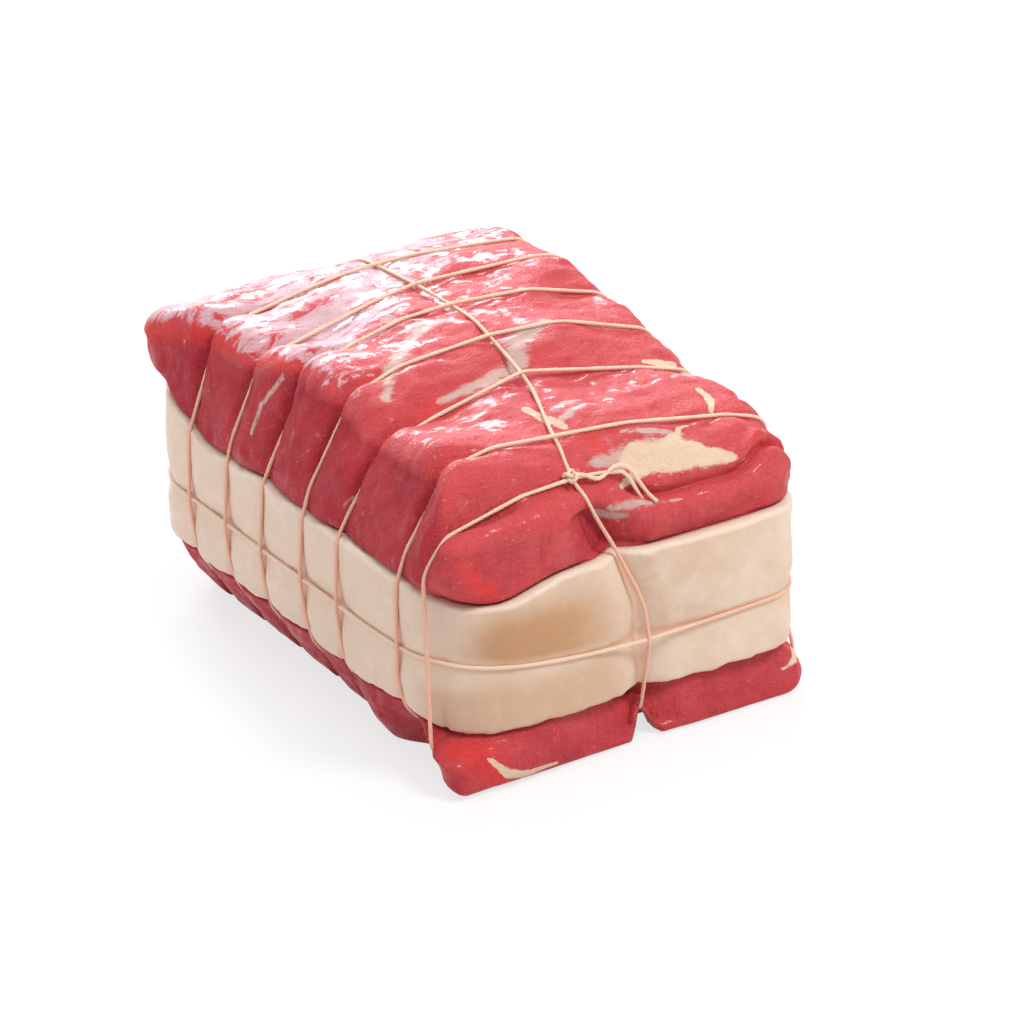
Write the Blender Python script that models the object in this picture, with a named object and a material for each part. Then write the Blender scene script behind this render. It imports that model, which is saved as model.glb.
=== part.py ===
"""A boned, rolled beef joint: red meat, a fat band round all four sides, and nine rounds of string."""

import math

import bmesh
import bpy
import numpy as np
from mathutils import Vector
from mathutils.bvhtree import BVHTree

# Sizes in millimetres. X is across, Y is along with the knotted end at -Y, Z is up.
WIDTH = 130.0
LENGTH = 180.0
HEIGHT = 106.0
CORNER_RADIUS = 15.0
# The band turns both left corners in a wider bend than the meat above and below it.
BEND_Z = (0.0, 12.0, 19.0, 63.0, 68.0, 84.0, 106.0)
NEAR_BEND = (1.5, 4.5, 27.0, 27.0, 14.0, 9.0, 9.0)
FAR_BEND = (24.0, 25.0, 27.0, 27.0, 24.0, 15.0, 15.0)
EDGE_RADIUS = 8.0
CENTRE_SHIFT = (0.0, 0.2)

BAND_BOTTOM = 20.0
BAND_TOP = 62.0
BAND_THICKNESS = 4.0
BAND_PROUD = 2.2
BAND_MIDDLE = 40.0

STRING_DIAMETER = 1.25
STRING_SIDES = 5
# A string turns at most this much at a corner, and follows flats longer than this.
STRING_TURN = math.radians(18.0)
STRING_SPAN = 5.0
GAP = 0.35

# The seven girth strings, from the knotted end to the far end.
GIRTHS = (-81.0, -67.0, -34.0, -13.0, 11.0, 33.0, 56.0)
CREASE_HALF = 4.0
# How deep each of them cuts into the left ridge, where the meat closes over it.
RIDGE_FOLDS = (4.6, 4.2, 5.0, 4.2, 5.5, 4.0, 4.0)
# How far the first girth string slips towards the near end, right of its knot.
SLIP = 5.0

# Height of the top at the strings: stations along Y, then one row for each station along X.
TOP_Y = (-90.0, -82.0, -77.0, -67.0, -34.0, -13.0, 11.0, 33.0, 56.0, 90.0)
TOP_X = (-50.0, -15.0, 20.0, 57.0)
TOP_Z = (
    (78.5, 79.5, 90.0, 94.0, 92.0, 98.0, 100.0, 93.5, 97.0, 89.0),
    (80.0, 82.5, 88.5, 92.5, 95.0, 103.0, 103.5, 101.0, 102.0, 92.0),
    (82.0, 84.0, 86.5, 89.5, 94.0, 101.5, 103.5, 103.5, 103.0, 91.0),
    (81.0, 83.0, 84.0, 84.5, 87.0, 93.5, 97.5, 102.0, 100.0, 94.0),
)
# How far each side leans in, by height.
SIDE_Z = (0.0, 8.0, 20.0, 62.0, 74.0, 90.0, 106.0)
LEFT_LEAN = (0.0, 0.0, 0.0, 0.0, 2.5, 10.0, 17.0)
LEFT_SHARE = (0.7, 0.9, 1.0, 1.2, 1.35, 1.0, 0.9, 0.8, 0.6, -0.5)
RIGHT_LEAN = (0.0, 0.0, 0.0, 0.0, 1.0, 3.0, 5.0)
NEAR_LEAN = (-4.0, -2.5, 0.0, 0.0, 0.3, 1.5, 3.0)
FAR_LEAN = (4.0, 1.5, 0.0, 0.0, 0.3, 1.5, 3.0)
# How far the foot is drawn in under each side, along Y.
FOOT_Y = (-90.0, -85.0, -80.0, -74.0, -67.0, -60.0, -50.0, -34.0, 90.0)
LEFT_FOOT = (5.0, 5.0, 11.0, 16.0, 17.0, 12.0, 5.0, 9.0, 11.0)
RIGHT_FOOT = (-7.0, -6.0, -5.0, -3.0, 0.0, 1.0, 3.0, 5.0, 6.0)

# Height of the waist string, across the knotted end from left to right.
WAIST_X = (-65.0, -45.0, 5.0, 65.0)
WAIST_Z = (40.0, 37.5, 33.5, 35.0)

# The knot stands on the first girth string, and its loose end runs to these plan points.
KNOT_RADIUS = 2.3
TAIL_PLAN = ((-15.0, -81.0), (-11.0, -82.0), (-8.0, -82.4), (-5.0, -82.6), (-2.0, -82.6),
             (1.0, -82.6), (4.0, -83.0), (7.0, -84.0), (9.5, -85.6), (11.0, -87.5))

# The lengthwise string's line: X along the top, and X down the knotted end.
LINE_Y = (-90.0, -81.0, -67.0, -34.0, 11.0, 33.0, 90.0)
LINE_TOP_X = (-12.0, -14.0, -11.0, -1.0, 3.0, 4.0, 2.0)
LINE_Z = (0.0, 19.0, 41.0, 60.0, 75.0, 84.0)
LINE_END_X = (6.0, 6.0, 5.0, -2.0, -9.0, -13.0)


def smooth(value):
    held = np.clip(value, 0.0, 1.0)
    return held * held * (3.0 - 2.0 * held)


def curve(at, stations, values):
    """A smooth line through values at stations, without overshoot."""
    at = np.asarray(at, float)
    known = np.asarray(stations, float)
    rows = np.asarray(values, float)
    if rows.ndim == 1:
        rows = np.broadcast_to(rows, (len(at), len(known)))
    step = np.diff(known)
    slope = np.diff(rows, axis=1) / step
    before, after = slope[:, :-1], slope[:, 1:]
    same = before * after > 0
    total = np.where(same, before + after, 1.0)
    inner = np.where(same, 2.0 * before * after / total, 0.0)
    tangent = np.concatenate([slope[:, :1], inner, slope[:, -1:]], axis=1)
    index = np.clip(np.searchsorted(known, at, side="right") - 1, 0, len(known) - 2)
    pick = np.arange(len(at))
    span = step[index]
    t = np.clip((at - known[index]) / span, 0.0, 1.0)
    start, end = rows[pick, index], rows[pick, index + 1]
    leave, arrive = tangent[pick, index] * span, tangent[pick, index + 1] * span
    return (
        start * (2 * t**3 - 3 * t**2 + 1)
        + leave * (t**3 - 2 * t**2 + t)
        + end * (3 * t**2 - 2 * t**3)
        + arrive * (t**3 - t**2)
    )


def top_height(x, y):
    rows = np.stack([curve(y, TOP_Y, row) for row in TOP_Z], axis=1)
    return curve(x, TOP_X, rows)


def line_shift(y, z):
    """X of the lengthwise string's line over the top, the ends and the underside."""
    over = curve(y, LINE_Y, LINE_TOP_X)
    near = curve(z, LINE_Z, LINE_END_X)
    at_end = smooth((-78.0 - y) / 10.0)
    high = smooth((z - 8.0) / 30.0)
    return near * at_end + (1.0 - at_end) * (over * high + 4.0 * (1.0 - high))


def band_waves(x, y):
    """How far the band's top and bottom edges rise or fall round the joint."""
    near = smooth((-66.0 - y) / 18.0)
    left = smooth((-48.0 - x) / 14.0)
    dip = near * smooth(1.0 - np.abs(x + 48.0) / 26.0)
    rim = -3.5 * dip + 0.8 * near * smooth(x / 30.0) + 0.5 * np.sin(y / 9.0) * left
    rim = rim + 8.0 * smooth((y - 46.0) / 34.0) * smooth((-40.0 - x) / 16.0)
    foot = -3.6 * near + 1.4 * left * (1.0 - near) + 0.6 * np.sin(y / 11.0 + 1.0) * left
    return rim, foot


def rounded_box(box):
    """Points and normals of the block with round corners, for points on the plain block."""
    half = np.array([WIDTH / 2, LENGTH / 2])
    share = box[:, :2] / half
    reach = np.maximum(np.abs(share).max(axis=1), 1e-6)
    edge = share / reach[:, None] * half
    near_left = (edge < 0.0).all(axis=1)
    far_left = (edge[:, 0] < 0.0) & ~near_left
    radius = np.where(near_left, curve(box[:, 2], BEND_Z, NEAR_BEND), CORNER_RADIUS)
    radius = np.where(far_left, curve(box[:, 2], BEND_Z, FAR_BEND), radius)[:, None]
    core = np.clip(edge, radius - half, half - radius)
    away = edge - core
    size = np.maximum(np.linalg.norm(away, axis=1), 1e-6)[:, None]
    plan_normal = away / size
    rim = core + plan_normal * radius
    length = np.linalg.norm(rim, axis=1)
    inward = (reach - 1.0) * length
    upper = box[:, 2] > HEIGHT / 2
    rise = np.where(upper, box[:, 2] - HEIGHT, -box[:, 2])
    # The knotted end's right lobe rolls over with a larger radius.
    lobe = smooth((rim[:, 0] + 8.0) / 26.0) * smooth((-58.0 - rim[:, 1]) / 26.0) * upper
    sharp = smooth((-50.0 - rim[:, 1]) / 30.0) * ~upper
    chunk = smooth((-10.0 - rim[:, 0]) / 10.0) * smooth((-74.0 - rim[:, 1]) / 8.0) * upper
    across = EDGE_RADIUS + 14.0 * lobe - 4.0 * sharp - 3.0 * chunk
    tall = EDGE_RADIUS + 28.0 * lobe - 4.0 * sharp + 4.0 * chunk
    base_in = np.minimum(inward, -across)
    base_up = np.minimum(rise, -tall)
    out = (inward - base_in) / across
    up = (rise - base_up) / tall
    size = np.maximum(np.hypot(out, up), 1e-6)
    out, up = out / size, up / size
    inward = base_in + across * out
    rise = base_up + tall * up
    outer = smooth((reach - 0.72) / 0.28)[:, None]
    plan = rim * (1.0 + inward / length)[:, None] * outer + box[:, :2] * (1.0 - outer)
    z = np.where(upper, HEIGHT + rise, -rise)
    points = np.column_stack([plan, z])
    normal_up = up / tall * np.where(upper, 1.0, -1.0)
    normals = np.column_stack([plan_normal * (out / across)[:, None], normal_up])
    return points, normals / np.linalg.norm(normals, axis=1)[:, None]


def joint_form(box):
    """The joint's skin as drawn in by its strings, with its normals."""
    points, normals = rounded_box(box)
    x, y, z = points.T
    pivot = 66.0
    top = top_height(x, y)
    z = np.where(z > pivot, pivot + (z - pivot) * (top - pivot) / (HEIGHT - pivot), z)
    middle = 1.0 - smooth(np.abs(x) / 46.0)
    x = x + line_shift(y, z) * middle
    foot = smooth((22.0 - z) / 19.0)
    left = curve(z, SIDE_Z, LEFT_LEAN) * curve(y, TOP_Y, LEFT_SHARE)
    left = left + foot * curve(y, FOOT_Y, LEFT_FOOT)
    right = curve(z, SIDE_Z, RIGHT_LEAN) + foot * curve(y, FOOT_Y, RIGHT_FOOT)
    right = right - 2.0 * smooth((-40.0 - y) / 30.0) * smooth((z - 60.0) / 14.0)
    x = x + left * smooth(0.5 - x / WIDTH) - right * smooth(0.5 + x / WIDTH)
    near = curve(z, SIDE_Z, NEAR_LEAN)
    far = curve(z, SIDE_Z, FAR_LEAN)
    rim, foot = band_waves(x, y)
    y = y + near * smooth((-81.0 - y) / 9.0) - far * smooth((y - 62.0) / 24.0)
    z = z + rim * smooth(1.0 - np.abs(z - BAND_TOP) / 16.0)
    z = z + foot * smooth(1.0 - np.abs(z - BAND_BOTTOM) / 12.0)
    return np.column_stack([x, y, z]), normals


def slip(x, y, z):
    """How far the first girth string lies nearer than its plane."""
    near = smooth((-70.0 - y) / 8.0)
    over = smooth((x + 8.0) / 24.0) * smooth((66.0 - x) / 26.0) * smooth((z - 30.0) / 30.0)
    return (SLIP * over - 4.0 * smooth((x - 40.0) / 24.0) * smooth((z - 6.0) / 16.0)) * near


def quilting(x, y, z):
    """0 in the crease under each girth string, 1 midway between two of them."""
    y = y + slip(x, y, z)
    stops = (-LENGTH / 2 - 12.0,) + GIRTHS + (LENGTH / 2 + 14.0,)
    index = np.clip(np.searchsorted(stops, y) - 1, 0, len(stops) - 2)
    low = np.take(stops, index)
    span = np.take(stops, index + 1) - low
    t = np.clip((y - low) / span, 0.0, 1.0)
    return np.sqrt(4.0 * t * (1.0 - t)) * np.sqrt(np.minimum(span, 34.0) / 24.0)


def lumps(p):
    x, y, z = p.T
    return (
        0.55 * np.sin(0.105 * x + 0.061 * y + 1.3) * np.sin(0.083 * z - 0.047 * y)
        + 0.45 * np.sin(0.071 * y + 0.15 * z + 0.4) * np.sin(0.12 * x - 0.6)
        + 0.35 * np.sin(0.19 * y - 0.11 * x + 2.1)
    )


def cleft(x, y, z, near_depth, far_depth, half):
    """How far the lengthwise string draws each end in, in a V along its own line."""
    off = np.abs(x - line_shift(y, z))
    shape = np.clip(1.0 - off / half, 0.0, 1.0) ** 1.3
    near = smooth((-74.0 - y) / 12.0) * near_depth
    far = smooth((y - 74.0) / 12.0) * far_depth
    return shape * (near + far)


def wall_swell(points, normals, height):
    """How far the band's outer face stands off the drawn-in skin."""
    x, y, z = points.T
    side = np.abs(normals[:, 0])
    ends = np.abs(normals[:, 1])
    waist = 1.0 * np.clip(1.0 - np.abs(height - waist_height(x, y)) / 8.0, 0.0, 1.0)
    along = 1.3 * quilting(x, y, z) * side
    off = np.abs(x - line_shift(y, z))
    lobes = 2.2 * ends * np.sin(np.pi * np.clip(off / 66.0, 0.0, 1.0))
    tuck = smooth((30.0 - height) / 8.0) * np.clip(1.0 - quilting(x, y, z), 0.0, 1.0) * side
    along = along - 2.2 * tuck
    return along + lobes - waist - cleft(x, y, z, 3.6, 2.5, 9.0)


def meat_swell(points, normals, height):
    """How far the meat stands off the drawn-in skin; under the band it lies behind it."""
    x, y, z = points.T
    wall = np.hypot(normals[:, 0], normals[:, 1])
    upward = np.clip(normals[:, 2], 0.0, 1.0)
    downward = np.clip(-normals[:, 2], 0.0, 1.0)
    ridge = smooth((-28.0 - x) / 22.0)
    swell = quilting(x, y, z) * (1.6 + 1.6 * ridge)
    lump = 1.1 * lumps(points)
    line = np.abs(x - line_shift(y, z))
    seam = np.clip(1.0 - line / 7.0, 0.0, 1.0) ** 1.3
    top = (swell + lump - 1.2 * seam) * upward
    # Above and below the band the walls sit a little behind its outer face.
    chunk = smooth((-12.0 - x) / 12.0) * smooth((-70.0 - y) / 8.0)
    free = -BAND_PROUD * (1.0 - 0.8 * chunk)
    free = free + quilting(x, y, z) * 2.2 * np.abs(normals[:, 0]) + 0.7 * lump
    scallop = smooth((22.0 - z) / 10.0) * smooth(-normals[:, 0]) * smooth((y + 70.0) / 12.0)
    free = free + scallop * (2.6 * quilting(x, y, z) - 2.0)
    free = free - cleft(x, y, z, 9.0, 4.0, 13.0) * (1.0 - 0.3 * smooth((19.0 - z) / 12.0))
    flap = smooth((-30.0 - x) / 14.0) * smooth((-66.0 - y) / 10.0) * smooth((17.0 - z) / 8.0)
    free = free + 2.0 * flap
    behind = wall_swell(points, normals, height) - BAND_THICKNESS - GAP
    above = smooth((BAND_TOP + 4.0 - height) / 4.0)
    covered = above * smooth((height - BAND_BOTTOM + 4.0) / 4.0)
    sides = free * (1.0 - covered) + behind * covered
    # Underneath, the strings lie in creases so that the flat base carries the joint.
    nearest = np.min([np.abs(y - girth) for girth in GIRTHS], axis=0)
    girth = 9.6 * np.clip(1.0 - nearest / CREASE_HALF, 0.0, 1.0)
    length = 13.5 * np.clip(1.0 - line / 5.5, 0.0, 1.0)
    under = -np.maximum(girth, length)
    found = top + sides * wall**2 * (1.0 - downward) * (1.0 - 0.6 * upward) + under * downward**2
    # Deep folds in the left ridge hide the strings as they turn over it.
    ridge = smooth((-32.0 - x) / 10.0) * smooth((z - 68.0) / 10.0) * (1.0 - downward)
    for place, depth in zip(GIRTHS, RIDGE_FOLDS):
        found = found - depth * ridge * np.exp(-(((y - place) / 1.8) ** 2))
    return found


def notched(points):
    """The points with the bottom edge raised where a string turns under it."""
    nearest = np.min([np.abs(points[:, 1] - girth) for girth in GIRTHS], axis=0)
    line = np.abs(points[:, 0] - line_shift(points[:, 1], points[:, 2]))
    lift = 6.0 * np.clip(1.0 - nearest / CREASE_HALF, 0.0, 1.0)
    lift = np.maximum(lift, 11.0 * smooth(1.0 - line / 6.5))
    raised = np.maximum(points[:, 2], 0.0)
    raised = raised + lift * np.clip(1.0 - raised / 12.0, 0.0, 1.0)
    return np.column_stack([points[:, :2], raised])


def lines(halves, extra):
    """Sorted grid lines, mirrored where halves are given."""
    both = [sign * value for value in halves for sign in (-1, 1)] + list(extra)
    return np.unique(np.round(both, 3))


X_LINES = lines((5.0, 11.0, 21.0, 33.0, 45.0, 55.0, 61.0, 65.0), (0.0,))
Z_LINES = np.array([0, 4, 9, 14, BAND_BOTTOM, 26, 33, BAND_MIDDLE, 47, 55, BAND_TOP,
                    66, 72, 80, 89, 98, HEIGHT])


def y_lines():
    marks = [-90.0, -87.0, 70.0, 80.0, 86.0, 90.0]
    for girth in GIRTHS:
        marks += [girth - CREASE_HALF, girth, girth + CREASE_HALF]
    for first, second in zip(GIRTHS, GIRTHS[1:]):
        marks += [(first + second) / 2]
    return np.unique(marks)


Y_LINES = y_lines()
AXIS_LINES = (X_LINES, Y_LINES, Z_LINES)


def gridded_box():
    """A block whose faces carry the grid lines, as box coordinates and a bmesh."""
    mesh = bmesh.new()
    bmesh.ops.create_cube(mesh, size=1.0)
    for axis in range(3):
        along = [
            edge for edge in mesh.edges
            if abs(edge.verts[0].co[axis] - edge.verts[1].co[axis]) > 0.5
        ]
        cuts = len(AXIS_LINES[axis]) - 2
        bmesh.ops.subdivide_edges(mesh, edges=along, cuts=cuts, use_grid_fill=True)
    places = np.array([vert.co[:] for vert in mesh.verts]) + 0.5
    box = np.empty_like(places)
    for axis, marks in enumerate(AXIS_LINES):
        box[:, axis] = np.interp(places[:, axis], np.linspace(0, 1, len(marks)), marks)
    return mesh, box


def move(mesh, points):
    shift = np.array([CENTRE_SHIFT[0], CENTRE_SHIFT[1], 0.0])
    for vert, point in zip(mesh.verts, (points + shift) / 1000.0):
        vert.co = point


def waist_height(x, y):
    """Height of the waist string, and of the dent it draws in the band."""
    near = smooth((-58.0 - y) / 30.0)
    return BAND_MIDDLE + near * (curve(x, WAIST_X, WAIST_Z) - BAND_MIDDLE)


def material(name, colour, roughness):
    made = bpy.data.materials.new(name)
    made.use_nodes = True
    shader = made.node_tree.nodes["Principled BSDF"]
    shader.inputs["Base Color"].default_value = (*colour, 1.0)
    shader.inputs["Roughness"].default_value = roughness
    return made


def finish(mesh, name, colour, roughness):
    bmesh.ops.remove_doubles(mesh, verts=mesh.verts, dist=1e-6)
    bmesh.ops.triangulate(mesh, faces=mesh.faces)
    bmesh.ops.recalc_face_normals(mesh, faces=mesh.faces)
    data = bpy.data.meshes.new(name)
    mesh.to_mesh(data)
    mesh.free()
    data.materials.append(material(name, colour, roughness))
    made = bpy.data.objects.new(name, data)
    bpy.context.scene.collection.objects.link(made)
    return made


def make_meat():
    mesh, box = gridded_box()
    points, normals = joint_form(box)
    points = points + normals * meat_swell(points, normals, box[:, 2])[:, None]
    move(mesh, notched(points))
    return finish(mesh, "meat", (0.42, 0.05, 0.05), 0.4)


def walk_round():
    """The block's upright grid columns in order, as plan coordinates."""
    half_x, half_y = WIDTH / 2, LENGTH / 2
    front = [(x, -half_y) for x in X_LINES[:-1]]
    right = [(half_x, y) for y in Y_LINES[:-1]]
    back = [(x, half_y) for x in X_LINES[:0:-1]]
    left = [(-half_x, y) for y in Y_LINES[:0:-1]]
    return np.array(front + right + back + left)


def make_band():
    """A strip of fat whose inner face follows the meat's own grid."""
    columns = walk_round()
    inner = [mark for mark in Z_LINES if BAND_BOTTOM <= mark <= BAND_TOP]
    outer = [BAND_BOTTOM + 1.5] + inner[1:-1] + [BAND_TOP - 1.5]
    profile = [(-BAND_THICKNESS, mark) for mark in inner]
    profile += [(-1.2, BAND_TOP)]
    profile += [(0.0, mark) for mark in reversed(outer)]
    profile += [(-1.2, BAND_BOTTOM)]
    count, rows = len(columns), len(profile)
    mesh = bmesh.new()
    bmesh.ops.create_grid(mesh, x_segments=count, y_segments=rows, size=0.5)
    places = np.array([vert.co[:] for vert in mesh.verts]) + 0.5
    column = np.round(places[:, 0] * count).astype(int) % count
    row = np.round(places[:, 1] * rows).astype(int) % rows
    depth = np.array([part[0] for part in profile])[row]
    height = np.array([part[1] for part in profile])[row]
    box = np.column_stack([columns[column], height])
    points, normals = joint_form(box)
    swell = wall_swell(points, normals, box[:, 2])
    points = points + normals * (swell + depth)[:, None]
    move(mesh, points)
    return finish(mesh, "fat_band", (0.80, 0.66, 0.54), 0.45)


def tree_of(obj):
    mesh = bmesh.new()
    mesh.from_mesh(obj.data)
    tree = BVHTree.FromBMesh(mesh)
    mesh.free()
    return tree


def section(trees, centre, across, up, side, drift, width):
    """Points where rays towards centre first meet the joint, in the loop's own plane."""
    found = []
    for step in range(360):
        turn = math.radians(step)
        way = across * math.cos(turn) + up * math.sin(turn)
        far = 0.0
        for offset in (-width, 0.0, width):
            place = centre + way * 80.0
            for _ in range(2):
                start = centre + way * 200.0 + side * (drift(place) + offset)
                hits = [tree.ray_cast(start / 1000.0, -way) for tree in trees]
                lengths = [hit[3] * 1000.0 for hit in hits if hit[0] is not None]
                reach = 200.0 - min(lengths)
                place = centre + way * reach
            far = max(far, reach)
        found.append((far * math.cos(turn), far * math.sin(turn)))
    return found


def ring_of(place, outward, side, count):
    turns = [2 * math.pi * (k + 0.5) / count for k in range(count)]
    return [place + outward * math.cos(turn) + side * math.sin(turn) for turn in turns]


def tube(name, rings, looped):
    """A string through its rings of points, joined end to end or capped."""
    count, sides = len(rings), len(rings[0])
    spans = count if looped else count - 1
    mesh = bmesh.new()
    bmesh.ops.create_grid(mesh, x_segments=spans, y_segments=sides, size=0.5)
    for vert in mesh.verts:
        ring = round((vert.co.x + 0.5) * spans) % count
        part = round((vert.co.y + 0.5) * sides) % sides
        vert.co = rings[ring][part] / 1000.0
    if not looped:
        bmesh.ops.remove_doubles(mesh, verts=mesh.verts, dist=1e-6)
        open_edges = [edge for edge in mesh.edges if edge.is_boundary]
        bmesh.ops.holes_fill(mesh, edges=open_edges, sides=sides)
    return finish(mesh, name, (0.78, 0.60, 0.48), 0.7)


def hull(points):
    """Corners of the convex outline of points, anticlockwise."""
    order = sorted({(round(u, 4), round(v, 4)) for u, v in points})
    outline = []
    for way in (order, order[::-1]):
        part = []
        for point in way:
            while len(part) > 1:
                (ax, ay), (bx, by) = part[-2], part[-1]
                if (bx - ax) * (point[1] - ay) - (by - ay) * (point[0] - ax) > 1e-9:
                    break
                part.pop()
            part.append(point)
        outline += part[:-1]
    return np.array(outline)


def taut_outline(points, stand_off):
    """Corners of the outline that a taut string takes round the points."""
    corners = hull(points)
    edges = np.roll(corners, -1, axis=0) - corners
    long = np.linalg.norm(edges, axis=1) > STRING_SPAN
    turns = np.sort(np.arctan2(-edges[long, 0], edges[long, 1]) % (2 * math.pi))
    chosen = []
    for turn, after in zip(turns, np.roll(turns, -1)):
        gap = (after - turn) % (2 * math.pi)
        parts = max(1, math.ceil(gap / STRING_TURN))
        chosen += [turn + gap * part / parts for part in range(parts) if gap > 0.02]
    ways = np.column_stack([np.cos(chosen), np.sin(chosen)])
    reach = (corners @ ways.T).max(axis=0) + stand_off
    ahead, after = np.roll(ways, -1, axis=0), np.roll(reach, -1)
    cross = ways[:, 0] * ahead[:, 1] - ways[:, 1] * ahead[:, 0]
    u = (reach * ahead[:, 1] - after * ways[:, 1]) / cross
    v = (after * ways[:, 0] - reach * ahead[:, 0]) / cross
    return np.column_stack([u, v])


def divided(outline, longest):
    """The outline with its longer edges divided, so that a drifting string can follow them."""
    found = []
    for here, after in zip(outline, np.roll(outline, -1, axis=0)):
        parts = max(1, math.ceil(np.linalg.norm(after - here) / longest))
        found += [here + (after - here) * part / parts for part in range(parts)]
    return np.array(found)


def string_loop(name, trees, centre, across, up, side, drift, longest=0.0):
    """A taut closed string, standing off the joint's section by its own radius."""
    radius = STRING_DIAMETER / 2
    found = section(trees, centre, across, up, side, drift, radius + 0.7)
    outline = taut_outline(found, radius + GAP + 0.5)
    if longest:
        outline = divided(outline, longest)
    rings = []
    for index, here in enumerate(outline):
        back = here - outline[index - 1]
        ahead = outline[(index + 1) % len(outline)] - here
        back, ahead = back / np.linalg.norm(back), ahead / np.linalg.norm(ahead)
        out = np.array([back[1] + ahead[1], -back[0] - ahead[0]])
        out = out / np.linalg.norm(out)
        mitre = 1.0 / (out @ np.array([back[1], -back[0]]))
        place = centre + across * here[0] + up * here[1]
        place = place + side * drift(place)
        outward = (across * out[0] + up * out[1]) * mitre
        rings.append(ring_of(place, outward * radius, side * radius, STRING_SIDES))
    return tube(name, rings, True)


def drop(trees, x, y, clear):
    """The place above plan point x, y that stands clear of everything below it."""
    heights = []
    for across, along in ((0, 0), (-1.2, 0), (1.2, 0), (0, -1.2), (0, 1.2)):
        start = Vector((x + across, y + along, 300.0))
        hits = [tree.ray_cast(start / 1000.0, Vector((0, 0, -1))) for tree in trees]
        heights += [hit[0].z * 1000.0 for hit in hits if hit[0] is not None]
    return Vector((x, y, max(heights) + clear))


def make_knot(trees, own, shift):
    """The knot and its loose end, as one helper that the girth string is joined to."""
    radius = STRING_DIAMETER / 2
    x, y = TAIL_PLAN[0]
    centre = drop([own], x + shift.x, y + shift.y, 2.0)
    mesh = bmesh.new()
    bmesh.ops.create_icosphere(mesh, subdivisions=2, radius=KNOT_RADIUS / 1000.0)
    bmesh.ops.translate(mesh, verts=mesh.verts, vec=centre / 1000.0)
    knot = finish(mesh, "knot_helper", (0.78, 0.60, 0.48), 0.7)
    path = [centre] + [
        drop(trees, x + shift.x, y + shift.y, radius + GAP) for x, y in TAIL_PLAN[1:]
    ]
    for index in range(2, len(path) - 1):
        path[index].z = max(path[index].z, (path[index - 1].z + path[index + 1].z) / 2)
    rings = []
    for index, place in enumerate(path):
        ahead = path[min(index + 1, len(path) - 1)] - path[max(index - 1, 0)]
        side = ahead.cross(Vector((0, 0, 1))).normalized()
        over = side.cross(ahead).normalized()
        rings.append(ring_of(place, over * radius, side * radius, STRING_SIDES))
    tail = tube("tail_helper", rings, False)
    for helper in (knot, tail):
        helper.hide_render = True
        helper.display_type = "WIRE"
    return knot, tail


def main():
    for obj in list(bpy.data.objects):
        bpy.data.objects.remove(obj, do_unlink=True)
    meat = make_meat()
    band = make_band()
    trees = [tree_of(meat), tree_of(band)]
    shift = Vector((*CENTRE_SHIFT, 0.0))
    x_axis, y_axis, z_axis = Vector((1, 0, 0)), Vector((0, 1, 0)), Vector((0, 0, 1))

    def straight(place):
        return 0.0

    def slipped(place):
        x, y, z = (np.array([value]) for value in (place.x, GIRTHS[0] - 4.0, place.z))
        return float(slip(x, y, z)[0])

    def along_waist(place):
        x, y = np.array([place.x - shift.x]), np.array([place.y - shift.y])
        return float(waist_height(x, y)[0]) - BAND_MIDDLE

    def along_line(place):
        y = np.array([place.y - shift.y])
        return float(line_shift(y, np.array([place.z]))[0])

    centre = Vector((0, 0, BAND_MIDDLE)) + shift
    waist = string_loop("string_waist", trees, centre, x_axis, y_axis, z_axis, along_waist)
    trees.append(tree_of(waist))
    centre = Vector((0, 0, 50.0)) + shift
    line = string_loop("string_length", trees, centre, y_axis, z_axis, x_axis, along_line, 7.0)
    trees.append(tree_of(line))
    for number, girth in enumerate(GIRTHS, 1):
        centre = Vector((0, girth, 45.0)) + shift
        name = f"string_girth_{number}"
        drift, longest = (slipped, 6.0) if number == 1 else (straight, 0.0)
        girth = string_loop(name, trees, centre, x_axis, z_axis, -y_axis, drift, longest)
        if number == 1:
            for helper in make_knot(trees, tree_of(girth), shift):
                union = girth.modifiers.new(helper.name, "BOOLEAN")
                union.operation = "UNION"
                union.solver = "EXACT"
                union.object = helper


main()
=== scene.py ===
"""A raw, boned and rolled beef joint in its fat band and strings, finished for close viewing."""

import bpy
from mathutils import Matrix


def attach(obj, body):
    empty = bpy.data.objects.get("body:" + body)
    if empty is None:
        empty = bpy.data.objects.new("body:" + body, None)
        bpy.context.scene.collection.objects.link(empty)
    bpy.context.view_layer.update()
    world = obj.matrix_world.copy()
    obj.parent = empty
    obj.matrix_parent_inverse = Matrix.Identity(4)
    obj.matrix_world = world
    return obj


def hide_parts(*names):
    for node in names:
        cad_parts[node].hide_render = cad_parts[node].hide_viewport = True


bl_info = {
    "name": "Rolled Beef Joint",
    "version": (1, 0, 0),
    "blender": (4, 5, 0),
    "location": "3D View > Sidebar > Joint",
    "description": "Models a tied beef joint with its fat band, nine strings and a plain studio",
    "category": "Add Mesh",
}

import itertools
import math

import bmesh
import bpy
import numpy as np
from bpy.props import FloatProperty, FloatVectorProperty, IntProperty, PointerProperty
from bpy.types import Operator, Panel, PropertyGroup
from mathutils import Vector
from mathutils.bvhtree import BVHTree

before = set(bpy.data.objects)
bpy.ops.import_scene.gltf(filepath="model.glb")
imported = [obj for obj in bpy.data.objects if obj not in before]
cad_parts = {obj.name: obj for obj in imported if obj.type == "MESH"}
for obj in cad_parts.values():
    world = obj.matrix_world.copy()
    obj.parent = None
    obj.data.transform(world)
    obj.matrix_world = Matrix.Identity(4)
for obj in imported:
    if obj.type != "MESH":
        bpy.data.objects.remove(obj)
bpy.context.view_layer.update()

# ---- Form of the joint, in millimetres: X across, Y along with the knotted end at -Y, Z up ----

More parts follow.
